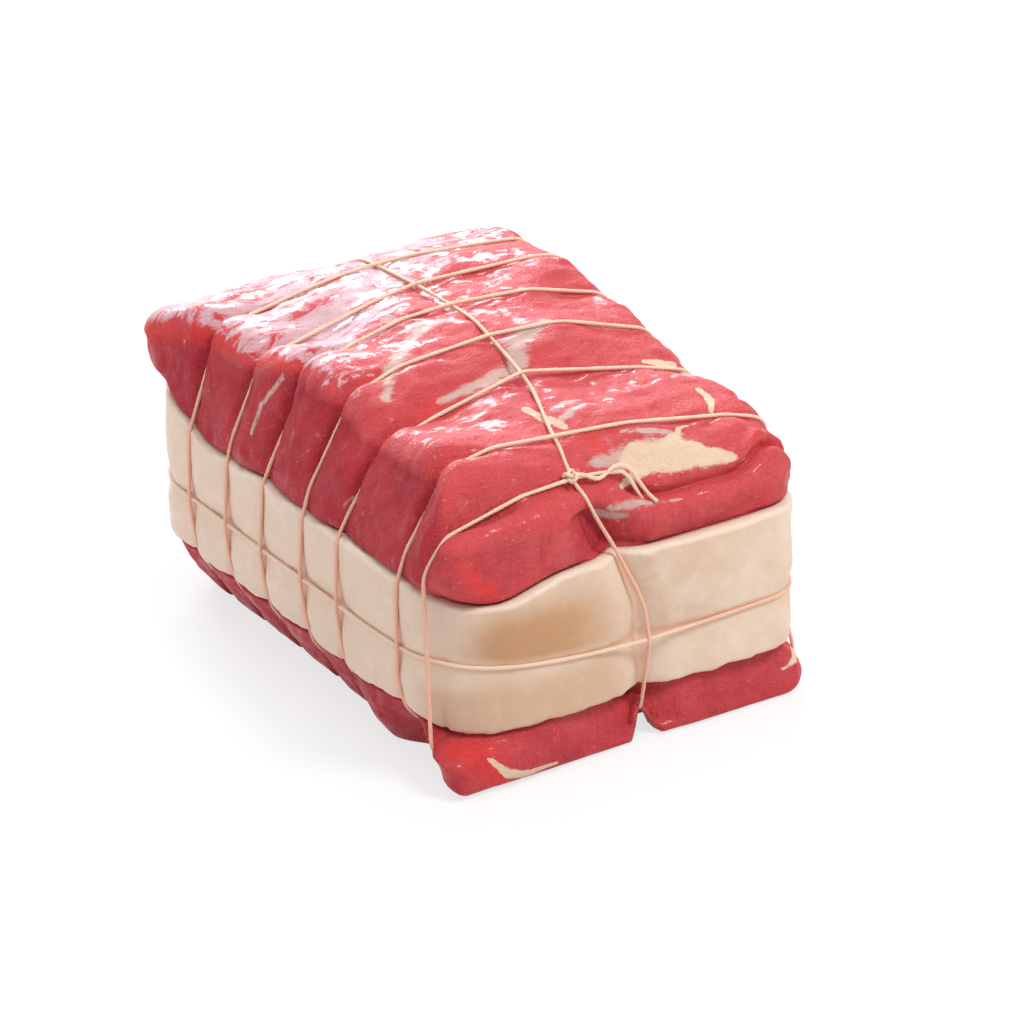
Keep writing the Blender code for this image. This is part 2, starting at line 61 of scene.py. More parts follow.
WIDTH = 130
LENGTH = 180
HEIGHT = 106
CORNER_RADIUS = 15
# The band turns both left corners in a wider bend than the meat above and below it.
BEND_Z = (0, 12, 19, 63, 68, 84, 106)
NEAR_BEND = (1.5, 4.5, 27, 27, 14, 9, 9)
FAR_BEND = (24, 25, 27, 27, 24, 15, 15)
EDGE_RADIUS = 8
CENTRE_SHIFT = np.array((0, 0.2, 0))

BAND_BOTTOM = 20
BAND_TOP = 62
BAND_THICKNESS = 4
BAND_PROUD = 2.2
BAND_MIDDLE = 40
# Radius of the band's rounded outer edges.
RIM = 1.6
# The meat spreads over the band's edges within this height.
SHELF = 1.2
GAP = 0.35

# The seven girth strings, from the knotted end to the far end.
GIRTHS = (-81, -67, -34, -13, 11, 33, 56)
CREASE_HALF = 4
# How sharply the lengthwise string's furrow narrows.
CLEFT_POWER = 1.3
# How deep each of them cuts into the left ridge, where the meat closes over it.
RIDGE_FOLDS = (4.6, 4.2, 5, 4.2, 5.5, 4, 4)

TOP_Y = (-90, -82, -77, -67, -34, -13, 11, 33, 56, 90)
TOP_X = (-50, -15, 20, 57)
TOP_Z = (
    (78.5, 79.5, 90, 94, 92, 98, 100, 93.5, 97, 89),
    (80, 82.5, 88.5, 92.5, 95, 103, 103.5, 101, 102, 92),
    (82, 84, 86.5, 89.5, 94, 101.5, 103.5, 103.5, 103, 91),
    (81, 83, 84, 84.5, 87, 93.5, 97.5, 102, 100, 94),
)
# How far the first girth string slips towards the near end, right of its knot.
SLIP = 5
SIDE_Z = (0, 8, 20, 62, 74, 90, 106)
LEFT_LEAN = (0, 0, 0, 0, 2.5, 10, 17)
LEFT_SHARE = (0.7, 0.9, 1, 1.2, 1.35, 1, 0.9, 0.8, 0.6, -0.5)
RIGHT_LEAN = (0, 0, 0, 0, 1, 3, 5)
NEAR_LEAN = (-4, -2.5, 0, 0, 0.3, 1.5, 3)
FAR_LEAN = (4, 1.5, 0, 0, 0.3, 1.5, 3)
FOOT_Y = (-90, -85, -80, -74, -67, -60, -50, -34, 90)
LEFT_FOOT = (5, 5, 11, 16, 17, 12, 5, 9, 11)
RIGHT_FOOT = (-7, -6, -5, -3, 0, 1, 3, 5, 6)
WAIST_X = (-65, -45, 5, 65)
WAIST_Z = (40, 37.5, 33.5, 35)
TAIL_PLAN = ((-15, -81), (-11, -82), (-8, -82.4), (-5, -82.6), (-2, -82.6),
             (1, -82.6), (4, -83), (7, -84), (9.5, -85.6), (11, -87.5))
LINE_Y = (-90, -81, -67, -34, 11, 33, 90)
LINE_TOP_X = (-12, -14, -11, -1, 3, 4, 2)
LINE_Z = (0, 19, 41, 60, 75, 84)
LINE_END_X = (6, 6, 5, -2, -9, -13)

# ---- Where the looks of the meat lie: stations of X, Y, Z and the half width there ----

FAT_TRAILS = (
    ((4, -77, 84, 2), (12, -77, 84, 5.5), (24, -78, 82, 6.5), (32, -80, 80, 4), (46, -81, 78, 0.6)),
    ((22, -76, 84, 4), (29, -71, 87, 0.6)),
    ((10, -79, 82, 3), (2, -81, 80, 1)),
    ((56, -31, 88, 1.6), (51, -31, 89, 2), (45, -30, 90, 1)),
    ((50, -53, 87, 1.6), (51, -57, 87, 1.8), (46, -64, 86, 1)),
    ((35, -69, 86, 1), (30, -71, 87, 0.8)),
    ((-10, -50, 95, 1.6), (-7, -56, 94, 1.9), (-5, -62, 93, 1.4)),
    ((69, -86, 15, 1), (63, -88, 10, 1.3), (57, -89, 8, 0.6)),
    ((-51, -92, 10, 0.8), (-46, -95, 5, 1.6), (-38, -95, 3, 1.4), (-28, -94, 3, 0.5)),
    ((-61, 8, 76, 1), (-61, 7.6, 76, 1)),
)
FILM_TRAILS = (
    ((-43, -24, 97, 1.5), (-33, -12, 99, 2.6), (-27, -7, 101, 2.4), (-20, -1, 103, 2.6),
     (-11, 3, 104, 3), (-3, -1, 105, 2)),
    ((-33, -12, 99, 2), (-39, -16, 98, 1.6)),
    ((24, -11, 102, 1.2), (14, -14, 102, 4), (7, -18, 102, 4.2), (3, -26, 100, 3),
     (-12, -30, 97, 2.6), (-28, -29, 95, 1.2)),
    ((-3, -53, 95, 0.6), (2, -52, 95, 1.3), (8, -51, 95, 0.7)),
    ((-5, -60, 94, 1.2), (3, -56, 94, 1.5), (10, -55, 94, 0.7)),
    ((46, -44, 89, 0.8), (57, -37, 87, 1.8), (60, -36, 86, 1)),
    ((29, -72, 86, 1), (20, -70, 88, 1.4), (10, -69, 89, 0.8)),
    ((-62, 22, 74, 0.7), (-59, 20, 83, 0.9), (-55, 16, 92, 0.9), (-46, 13, 100, 0.8)),
    ((-3, -84, 75, 1.6), (6, -86, 75, 1.3), (20, -87, 73, 0.4)),
    ((-4, -76, 86, 2), (6, -77, 85, 4.5), (16, -77, 85, 5), (22, -77, 84, 4)),
    ((-5, -81, 73, 2.2), (2, -84, 73, 1.6)),
)
BLUSH_TRAILS = (
    ((-57, -88, 72, 3.5), (-52, -90, 64, 6), (-48, -90, 61, 5)),
    ((-60, -87, 19, 5), (-54, -89, 12, 8), (-48, -94, 4, 6)),
    ((-1, -70, 90, 3), (0, -76, 85, 4.5), (8, -74, 87, 3)),
    ((-40, 30, 96, 2.5), (-32, 32, 96, 3)),
    ((-34, -32, 95, 2.5), (-26, -29, 95, 2.5)),
    ((-66, 84, 88, 6), (-58, 60, 93, 5), (-54, 40, 95, 5), (-52, 16, 97, 5)),
    ((68, -88, 18, 3), (70, -88, 8, 5)),
    ((53, -80, 84, 3), (64, -76, 72, 4)),
)


def held(value):
    return np.clip(value, 0, 1)


def lengths(rows):
    return np.linalg.norm(rows, axis=1)


def unit(rows):
    return rows / lengths(rows)[:, None]


def smooth(value):
    value = held(value)
    return value * value * (3 - 2 * value)


def tent(distance, half):
    """1 on a line, falling evenly to 0 at half."""
    return held(1 - distance / half)


def curve(at, stations, values):
    """A smooth line through values at stations, without overshoot."""
    at = np.asarray(at, float)
    known = np.asarray(stations, float)
    rows = np.asarray(values, float)
    if rows.ndim == 1:
        rows = np.broadcast_to(rows, (len(at), len(known)))
    step = np.diff(known)
    slope = np.diff(rows, axis=1) / step
    before, after = slope[:, :-1], slope[:, 1:]
    same = before * after > 0
    total = np.where(same, before + after, 1)
    inner = np.where(same, 2 * before * after / total, 0)
    tangent = np.concatenate([slope[:, :1], inner, slope[:, -1:]], axis=1)
    index = np.clip(np.searchsorted(known, at, side="right") - 1, 0, len(known) - 2)
    pick = np.arange(len(at))
    span = step[index]
    t = held((at - known[index]) / span)
    start, end = rows[pick, index], rows[pick, index + 1]
    leave, arrive = tangent[pick, index] * span, tangent[pick, index + 1] * span
    return (
        start * (2 * t**3 - 3 * t**2 + 1)
        + leave * (t**3 - 2 * t**2 + t)
        + end * (3 * t**2 - 2 * t**3)
        + arrive * (t**3 - t**2)
    )


def relief(points, size, seed, stretch=(1, 1, 1)):
    """Smooth uneven relief between -1 and 1, with features of about this size."""
    grid = np.random.default_rng(seed).uniform(-1, 1, (32, 32, 32))
    place = points / (size * np.array(stretch)) + 100
    base = np.floor(place).astype(int)
    part = place - base
    part = part * part * (3 - 2 * part)
    total = np.zeros(len(points))
    for corner in itertools.product((0, 1), repeat=3):
        weight = np.prod(np.where(corner, part, 1 - part), axis=1)
        total += weight * grid[tuple(((base + corner) % 32).T)]
    return total


def trail(points, stations):
    """1 along a line through the stations, 0 at its half width and negative outside."""
    found = np.full(len(points), -3)
    for first, second in itertools.pairwise(np.array(stations, float)):
        way = second[:3] - first[:3]
        share = held((points - first[:3]) @ way / max(way @ way, 1e-9))
        away = lengths(points - first[:3] - share[:, None] * way)
        half = first[3] + share * (second[3] - first[3])
        found = np.maximum(found, 1 - away / half)
    return found


def trails(points, group):
    """All the lines of a group laid on the skin: 0.5 on an edge, 1 inside and 0 outside."""
    best = np.full(len(points), -3)
    for stations in group:
        nearest = [np.argmin(((points - station[:3]) ** 2).sum(axis=1)) for station in stations]
        laid = [(*points[index], station[3]) for index, station in zip(nearest, stations)]
        best = np.maximum(best, trail(points, laid))
    return held(0.5 + 0.5 * best)


def top_height(x, y):
    rows = np.stack([curve(y, TOP_Y, row) for row in TOP_Z], axis=1)
    return curve(x, TOP_X, rows)


def line_shift(y, z):
    """X of the lengthwise string's line over the top, the ends and the underside."""
    over = curve(y, LINE_Y, LINE_TOP_X)
    near = curve(z, LINE_Z, LINE_END_X)
    at_end = smooth((-78 - y) / 10)
    high = smooth((z - 8) / 30)
    return near * at_end + (1 - at_end) * (over * high + 4 * (1 - high))


def from_line(x, y, z):
    return np.abs(x - line_shift(y, z))


def from_girths(y):
    """How far away the nearest girth string's plane is."""
    return np.min([np.abs(y - girth) for girth in GIRTHS], axis=0)


def band_waves(x, y):
    """How far the band's top and bottom edges rise or fall round the joint."""
    near = smooth((-66 - y) / 18)
    left = smooth((-48 - x) / 14)
    dip = near * smooth(1 - np.abs(x + 48) / 26)
    rim = -5 * dip + 0.8 * near * smooth(x / 30) + 0.5 * np.sin(y / 9) * left
    rim = rim + 8 * smooth((y - 46) / 34) * smooth((-40 - x) / 16)
    foot = -3.6 * near + 1.4 * left * (1 - near) + 0.6 * np.sin(y / 11 + 1) * left
    return rim, foot


def rounded_box(box):
    """Points and normals of the block with round corners, for points on the plain block."""
    half = np.array([WIDTH / 2, LENGTH / 2])
    share = box[:, :2] / half
    reach = np.maximum(np.abs(share).max(axis=1), 1e-6)
    edge = share / reach[:, None] * half
    near_left = (edge < 0).all(axis=1)
    far_left = (edge[:, 0] < 0) & ~near_left
    radius = np.where(near_left, curve(box[:, 2], BEND_Z, NEAR_BEND), CORNER_RADIUS)
    radius = np.where(far_left, curve(box[:, 2], BEND_Z, FAR_BEND), radius)[:, None]
    core = np.clip(edge, radius - half, half - radius)
    away = edge - core
    size = np.maximum(lengths(away), 1e-6)[:, None]
    plan_normal = away / size
    rim = core + plan_normal * radius
    length = lengths(rim)
    inward = (reach - 1) * length
    upper = box[:, 2] > HEIGHT / 2
    rise = np.where(upper, box[:, 2] - HEIGHT, -box[:, 2])
    # The knotted end's right lobe rolls over with a larger radius.
    lobe = smooth((rim[:, 0] + 8) / 26) * smooth((-58 - rim[:, 1]) / 26) * upper
    sharp = smooth((-50 - rim[:, 1]) / 30) * ~upper
    chunk = smooth((-10 - rim[:, 0]) / 10) * smooth((-74 - rim[:, 1]) / 8) * upper
    across = EDGE_RADIUS + 14 * lobe - 4 * sharp - 3 * chunk
    tall = EDGE_RADIUS + 28 * lobe - 4 * sharp + 4 * chunk
    base_in = np.minimum(inward, -across)
    base_up = np.minimum(rise, -tall)
    out = (inward - base_in) / across
    up = (rise - base_up) / tall
    size = np.maximum(np.hypot(out, up), 1e-6)
    out, up = out / size, up / size
    inward = base_in + across * out
    rise = base_up + tall * up
    outer = smooth((reach - 0.72) / 0.28)[:, None]
    plan = rim * (1 + inward / length)[:, None] * outer + box[:, :2] * (1 - outer)
    z = np.where(upper, HEIGHT + rise, -rise)
    points = np.column_stack([plan, z])
    normal_up = up / tall * np.where(upper, 1, -1)
    normals = np.column_stack([plan_normal * (out / across)[:, None], normal_up])
    return points, unit(normals)


def joint_form(box):
    """The joint's skin as drawn in by its strings, with its normals."""
    points, normals = rounded_box(box)
    x, y, z = points.T
    pivot = 66
    top = top_height(x, y)
    z = np.where(z > pivot, pivot + (z - pivot) * (top - pivot) / (HEIGHT - pivot), z)
    middle = 1 - smooth(np.abs(x) / 46)
    x = x + line_shift(y, z) * middle
    foot = smooth((22 - z) / 19)
    left = curve(z, SIDE_Z, LEFT_LEAN) * curve(y, TOP_Y, LEFT_SHARE)
    left = left + foot * curve(y, FOOT_Y, LEFT_FOOT)
    right = curve(z, SIDE_Z, RIGHT_LEAN) + foot * curve(y, FOOT_Y, RIGHT_FOOT)
    right = right - 2 * smooth((-40 - y) / 30) * smooth((z - 60) / 14)
    x = x + left * smooth(0.5 - x / WIDTH) - right * smooth(0.5 + x / WIDTH)
    near = curve(z, SIDE_Z, NEAR_LEAN)
    far = curve(z, SIDE_Z, FAR_LEAN)
    rim, foot = band_waves(x, y)
    y = y + near * smooth((-81 - y) / 9) - far * smooth((y - 62) / 24)
    z = z + rim * smooth(1 - np.abs(z - BAND_TOP) / 16)
    z = z + foot * smooth(1 - np.abs(z - BAND_BOTTOM) / 12)
    return np.column_stack([x, y, z]), normals


def slip(x, y, z):
    """How far the first girth string lies nearer than its plane."""
    near = smooth((-70 - y) / 8)
    over = smooth((x + 8) / 24) * smooth((66 - x) / 26) * smooth((z - 30) / 30)
    return (SLIP * over - 4 * smooth((x - 40) / 24) * smooth((z - 6) / 16)) * near


def quilting(x, y, z):
    """0 in the crease under each girth string, 1 midway between two of them."""
    y = y + slip(x, y, z)
    stops = (-LENGTH / 2 - 12,) + GIRTHS + (LENGTH / 2 + 14,)
    index = np.clip(np.searchsorted(stops, y) - 1, 0, len(stops) - 2)
    low = np.take(stops, index)
    span = np.take(stops, index + 1) - low
    t = held((y - low) / span)
    return np.sqrt(4 * t * (1 - t)) * np.sqrt(np.minimum(span, 34) / 24)


def lumps(p):
    x, y, z = p.T
    return (
        0.55 * np.sin(0.105 * x + 0.061 * y + 1.3) * np.sin(0.083 * z - 0.047 * y)
        + 0.45 * np.sin(0.071 * y + 0.15 * z + 0.4) * np.sin(0.12 * x - 0.6)
        + 0.35 * np.sin(0.19 * y - 0.11 * x + 2.1)
    )


def cleft(x, y, z, near_depth, far_depth, half):
    """How far the lengthwise string draws each end in, in a V along its own line."""
    near = smooth((-74 - y) / 12) * near_depth
    far = smooth((y - 74) / 12) * far_depth
    return tent(from_line(x, y, z), half) ** CLEFT_POWER * (near + far)


def waist_height(x, y):
    """Height of the waist string, and of the dent it draws in the band."""
    near = smooth((-58 - y) / 30)
    return BAND_MIDDLE + near * (curve(x, WAIST_X, WAIST_Z) - BAND_MIDDLE)


def wall_swell(points, normals, height):
    """How far the band's outer face stands off the drawn-in skin."""
    x, y, z = points.T
    side = np.abs(normals[:, 0])
    ends = np.abs(normals[:, 1])
    quilt = quilting(x, y, z)
    waist = tent(np.abs(height - waist_height(x, y)), 8)
    lobes = 2.2 * ends * np.sin(np.pi * held(from_line(x, y, z) / 66))
    tuck = smooth((30 - height) / 8) * held(1 - quilt) * side
    along = 1.3 * quilt * side - 2.2 * tuck
    return along + lobes - waist - cleft(x, y, z, 3.6, 2.5, 9)


def covered(height):
    """1 where the band lies over the meat, 0 above and below it."""
    above = smooth((BAND_TOP + SHELF - height) / SHELF)
    return above * smooth((height - BAND_BOTTOM + SHELF) / SHELF)


def meat_swell(points, normals, height):
    """How far the meat stands off the drawn-in skin; under the band it lies behind it."""
    x, y, z = points.T
    quilt = quilting(x, y, z)
    wall = np.hypot(normals[:, 0], normals[:, 1])
    upward = held(normals[:, 2])
    downward = held(-normals[:, 2])
    ridge = smooth((-28 - x) / 22)
    swell = quilt * (1.6 + 1.6 * ridge)
    lump = 1.1 * lumps(points)
    line = from_line(x, y, z)
    seam = tent(line, 7) ** CLEFT_POWER
    top = (swell + lump - 1.2 * seam) * upward
    # Above and below the band the walls sit a little behind its outer face.
    chunk = smooth((-12 - x) / 12) * smooth((-70 - y) / 8)
    free = -BAND_PROUD * (1 - 0.8 * chunk)
    free = free + quilt * 2.2 * np.abs(normals[:, 0]) + 0.7 * lump
    scallop = smooth((22 - z) / 10) * smooth(-normals[:, 0]) * smooth((y + 70) / 12)
    free = free + scallop * (2.6 * quilt - 2)
    free = free - cleft(x, y, z, 9, 4, 13) * (1 - 0.3 * smooth((19 - z) / 12))
    flap = smooth((-30 - x) / 14) * smooth((-66 - y) / 10) * smooth((17 - z) / 8)
    free = free + 2 * flap
    behind = wall_swell(points, normals, height) - BAND_THICKNESS - GAP
    hidden = covered(height)
    sides = free * (1 - hidden) + behind * hidden
    # Underneath, the strings lie in creases so that the flat base carries the joint.
    under = -np.maximum(9.6 * tent(from_girths(y), CREASE_HALF), 13.5 * tent(line, 5.5))
    return top + sides * wall**2 * (1 - downward) * (1 - 0.6 * upward) + under * downward**2


def notched(points):
    """The points with the bottom edge raised where a string turns under it."""
    x, y, z = points.T
    lift = 6 * tent(from_girths(y), CREASE_HALF)
    lift = np.maximum(lift, 7 * smooth(1 - from_line(x, y, z) / 3.5))
    raised = np.maximum(z, 0)
    return np.column_stack([x, y, raised + lift * tent(raised, 12)])


def flesh_relief(points, normals, height):
    """The uneven surface of cut muscle: folds, bundles of fibres and small dents."""
    over = smooth((height - BAND_TOP - 0.2) / 3)
    shown = over + smooth((BAND_BOTTOM - 0.2 - height) / 3)
    x, y, z = points.T
    above = smooth((height - 50) / 10)
    folds = 1.1 * relief(points, 15, 3, (1, 0.8, 1.4))
    bundles = 0.50 * relief(points, 5, 5, (1.6, 0.7, 1.3))
    dents = 0.30 * relief(points, 2.4, 7, (1.5, 0.8, 1.2))
    uneven = (folds * (0.5 + 0.5 * above) + bundles + dents) * shown
    # Deep folds in the left ridge hide the strings as they turn over it.
    ridge = smooth((-32 - x) / 10) * smooth((z - 68) / 10)
    for place, depth in zip(GIRTHS, RIDGE_FOLDS):
        uneven = uneven - depth * ridge * np.exp(-(((y - place) / 1.8) ** 2))
    # Right of the knot the first girth string is buried between two lips of meat.
    lip = smooth(x / 8) * smooth((z - 64) / 4)
    off = y + slip(x, y, z) - GIRTHS[0]
    uneven = uneven - 2.4 * lip * np.exp(-((off / 1.1) ** 2))
    uneven = uneven + 1.3 * lip * np.exp(-(((np.abs(off) - 3) / 2) ** 2))
    return uneven * (1 - held(-normals[:, 2]))


# ---- Shader nodes written as Python expressions ----


class Value:
    """One node output. Python's operators on it add Math nodes."""

    def __init__(self, paint, socket):
        self.paint = paint
        self.socket = socket

    def math(self, operation, *values):
        return self.paint.node("ShaderNodeMath", {"operation": operation}, values)

    def __add__(self, other):
        return self.math("ADD", self, other)

    def __sub__(self, other):
        return self.math("SUBTRACT", self, other)

    def __rsub__(self, other):
        return self.math("SUBTRACT", other, self)

    def __mul__(self, other):
        return self.math("MULTIPLY", self, other)

    __radd__, __rmul__ = __add__, __mul__

    def step(self, low, high):
        """0 below low and 1 above high, with a soft rise between."""
        settings = {"interpolation_type": "SMOOTHSTEP"}
        return self.paint.node("ShaderNodeMapRange", settings, (self, low, high))

    def over(self, base, colour):
        """The colour laid over base, where this value is the mask."""
        settings = {"data_type": "RGBA"}
        return self.paint.node("ShaderNodeMix", settings, {0: self, 6: base, 7: colour}, 2)


class Paint:
    """The node tree of one material or world, with places in millimetres."""

    def __init__(self, owner, output="ShaderNodeOutputMaterial"):
        self.owner = owner
        owner.use_nodes = True
        self.tree = owner.node_tree
        self.tree.nodes.clear()
        self.output = self.tree.nodes.new(output)

    def feed(self, socket, value):
        if isinstance(value, Value):
            self.tree.links.new(value.socket, socket)
        elif socket.type == "RGBA":
            socket.default_value = (*value, 1.0)[:4]
        else:
            socket.default_value = value

    def node(self, kind, settings=None, inputs=(), output=0):
        made = self.tree.nodes.new(kind)
        for key, value in (settings or {}).items():
            setattr(made, key, value)
        pairs = inputs.items() if isinstance(inputs, dict) else enumerate(inputs)
        for key, value in pairs:
            self.feed(made.inputs[key], value)
        return Value(self, made.outputs[output])

    def noise(self, size, detail=3.0, rough=0.55, twist=0.0, stretch=(1, 1, 1), turn=(0, 0, 0)):
        """Noise with features of this many millimetres, longer where stretch is over 1."""
        where = self.node("ShaderNodeTexCoord", output=3)
        inputs = {"Vector": where, "Rotation": turn, "Scale": [1000.0 / part for part in stretch]}
        place = self.node("ShaderNodeMapping", {}, inputs)
        inputs = {"Vector": place, "Scale": 1.0 / size, "Detail": detail,
                  "Roughness": rough, "Distortion": twist}
        return self.node("ShaderNodeTexNoise", {}, inputs)

    def mark(self, name):
        """A number that the mesh carries at each vertex."""
        return self.node("ShaderNodeAttribute", {"attribute_name": name}, output=2)

    def bump(self, height, depth, strength):
        """A normal bent by height, whose full range is depth in millimetres."""
        inputs = {"Height": height, "Distance": depth / 1000.0, "Strength": strength}
        return self.node("ShaderNodeBump", {}, inputs)

    def layers(self, colour, *pairs):
        """The colour under further layers, each a mask and its own colour."""
        for mask, own in pairs:
            colour = mask.over(colour, own)
        return colour

    def rays(self, kind):
        """1 for light of this kind, such as "Is Camera Ray"."""
        path = self.node("ShaderNodeLightPath").socket.node
        return Value(self, path.outputs[kind])

    def finish(self, shader):
        """Feeds the shader to the output and returns the finished material or world."""
        self.feed(self.output.inputs["Surface"], shader)
        return self.owner

    def principled(self, **inputs):
        named = {key.replace("_", " "): value for key, value in inputs.items()}
        return self.finish(self.node("ShaderNodeBsdfPrincipled", {}, named))


def meat_material(colours, finish):
    """Cut muscle: fibres, marbling, silverskin film, fat seams and a wet coat, with a painted
    highlight on the far top and a top painted paler than the walls, partly its own colour and
    partly painted light.
    """
    paint = Paint(bpy.data.materials.new("raw_beef"))
    marks = ("lit", "fat", "film", "blush", "wet")
    lit, fat_mark, film_mark, blush, pooled_and_painted_highlight = map(paint.mark, marks)
    broad = paint.noise(22.0, 2.0)
    mottle = paint.noise(5.0, 4.0, 0.6)
    grain = paint.noise(0.9, 4.0, 0.65, 0.4, (2.6, 1, 1), (0, 0.15, 0.35))
    fibres = paint.noise(1.6, 3.0, 0.6, 0.3, (1.0, 1.0, 7.0), (0.12, 0.0, 0.0))
    ragged = paint.noise(1.8, 5.0, 0.7, 0.8, (2.0, 1.0, 1.0), (0.0, 0.0, 0.5))
    streaks = paint.noise(1.3, 4.0, 0.65, 0.6, (4.5, 1.0, 1.0), (0.0, 0.0, 0.9))

    seams = paint.noise(6.0, 5.0, 0.65, 1.0, (2.2, 0.8, 1.2), (0.0, 0.2, 0.5))
    specks = paint.noise(1.0, 2.0, 0.5).step(0.68, 0.76)

    # Painted light: the top is painted paler than the walls, partly its own paler red and partly
    # light from above; lit also paints the near end paler and the foot darker.
    top_tone_and_painted_light = (lit + (broad - 0.5) * 0.9 + (mottle - 0.5) * 0.5).step(0.0, 1.0)
    bright = (blush + (mottle - 0.5) * 0.8).step(0.40, 0.95)
    # Painted highlight: a pale bluish gloss laid into the colour where juice pools on the far top.
    painted_highlight_mask = (pooled_and_painted_highlight + (seams - 0.5) * 3.2 + (ragged - 0.5) * 1.0).step(0.62, 1.05)
    film = (film_mark + (streaks - 0.5) * 1.3 + (ragged - 0.5) * 0.6).step(0.36, 0.82)
    fat = (fat_mark + (ragged - 0.5) * 0.55).step(0.47, 0.60)
    colour = paint.layers(
        colours.meat_side_tone_and_painted_shade,
        (top_tone_and_painted_light, colours.meat_top_tone_and_painted_light),
        (fibres.step(0.52, 0.75) * 0.35, colours.meat_deep),
        (grain.step(0.56, 0.78) * 0.30, colours.meat_pale),
        (bright * 0.62, colours.blush),
        (seams.step(0.60, 0.78) * 0.30, colours.marbling),
        (painted_highlight_mask * 0.60, colours.painted_highlight_colour),
        # Painted light: the marbling specks show more on upward and near faces.
        (specks * (0.20 + 0.45 * lit), colours.marbling),
        (film * 0.80, colours.silverskin),
        (fat, mottle.over(colours.kite_fat, colours.marbling)),
    )

    fine = paint.noise(0.55, 3.0, 0.6)
    height = grain * 1.1 + fibres * 0.8 + mottle * 0.9 + fine * 0.5 + fat * 0.3
    normal = paint.bump(height, finish.grain_depth, 0.9)
    wet = paint.noise(7.0, 4.0, 0.65, 0.5)
    rough = 0.34 + grain * 0.20 + wet * 0.10 + fat * 0.12
    coat = wet.step(0.46, 0.60) * (0.26 + lit * 0.10 + pooled_and_painted_highlight * 0.5) * (1.0 - fat * 0.6)
    return paint.principled(
        Base_Color=colour, Roughness=rough, Normal=normal, Coat_Weight=coat,
        Coat_Roughness=0.13, Coat_IOR=1.45, IOR=1.40,
        Specular_IOR_Level=0.22, Subsurface_Weight=finish.flesh_glow,
        Subsurface_Radius=(1.0, 0.22, 0.16), Subsurface_Scale=0.0016,
    )


def fat_material(colours, finish):
    """Firm, cool fat: cream and faintly mottled, pink beside the strings; brown painted shade at
    the near end, and a pinker left side that is partly painted shade.
    """
    paint = Paint(bpy.data.materials.new("beef_fat"))
    broad = paint.noise(24.0, 3.0)
    mottle = paint.noise(5.5, 4.0, 0.6)
    fine = paint.noise(1.1, 4.0, 0.6)
    beside, rim, near_painted_shade, side = map(paint.mark, ("beside", "rim", "near_painted_shade", "side"))
    # Painted shade, brown: under the rim above the waist string and low on the near end.
    brown = (near_painted_shade + (mottle - 0.5) * 0.5).step(-0.10, 1.00)
    stain = (beside + (broad - 0.5) * 1.3 + (mottle - 0.5) * 0.9).step(0.35, 1.05)
    blotch = paint.noise(9.0, 4.0, 0.65, 0.8).step(0.60, 0.74)
    colour = paint.layers(
        colours.fat_shade,
        (broad.step(0.30, 0.70) * 0.8, colours.fat),
        # Partly the left side's own pinker colour and partly painted shade on left-facing faces.
        (side * 0.75, colours.fat_left_tone_and_painted_shade),
        (mottle.step(0.46, 0.72) * 0.45, colours.fat_pale),
        # Brown painted shade at the near end.
        (brown * 0.90, colours.fat_painted_shade),
        (stain * 0.45, colours.fat_stain),
        (blotch * 0.35, colours.fat_stain),
        ((rim + (fine - 0.5) * 0.4).step(0.35, 0.8) * 0.6, colours.fat_pale),
        (fine.step(0.62, 0.75) * 0.12, colours.fat_shade),
    )

    height = broad * 1.4 + mottle * 1.0 + fine * 0.5
    normal = paint.bump(height, finish.fat_depth, 0.7)
    return paint.principled(
        Base_Color=colour, Roughness=0.42 + fine * 0.25, Normal=normal,
        Coat_Weight=mottle.step(0.35, 0.75) * 0.30, Coat_Roughness=0.22, IOR=1.44,
        Subsurface_Weight=0.22, Subsurface_Radius=(1.0, 0.62, 0.42), Subsurface_Scale=0.0024,
    )


def string_material(colours):
    """Twisted cotton, cream where dry and orange-pink where it has soaked up juice, with painted
    shade in the grooves between the plies.
    """
    paint = Paint(bpy.data.materials.new("cotton_string"))
    soaked = paint.mark("soaked")
    ply = paint.mark("ply")
    patches = paint.noise(6.0, 3.0)
    fuzz = paint.noise(0.35, 4.0, 0.7)
    wet = (soaked + (patches - 0.5) * 0.7).step(0.15, 0.85)
    colour = paint.layers(
        colours.string_dry,
        (wet, colours.string_soaked),
        # Painted shade in the grooves between the plies.
        ((1.0 - ply.step(-0.9, 0.2)) * 0.45, colours.string_painted_groove_shade),
        (fuzz.step(0.45, 0.70) * 0.25, colours.string_dry),
    )
    normal = paint.bump(fuzz + ply * 0.3, 0.12, 0.6)
    return paint.principled(
        Base_Color=colour, Roughness=0.62 + fuzz * 0.25, Normal=normal, IOR=1.4,
        Subsurface_Weight=0.1, Subsurface_Radius=(1.0, 0.6, 0.4), Subsurface_Scale=0.0006,
    )


# ---- Meshes ----


def grid_lines(stops):
    """Grid lines from (place, cell size up to the next place) pairs."""
    marks = [stops[0][0]]
    for (start, cell), (end, _) in itertools.pairwise(stops):
        count = max(1, round((end - start) / cell))
        marks += [start + (end - start) * part / count for part in range(1, count + 1)]
    return np.array(marks)


def plan_lines(cell):
    """Even grid lines across and along the whole block."""
    return [grid_lines(((-span / 2, cell), (span / 2, cell))) for span in (WIDTH, LENGTH)]


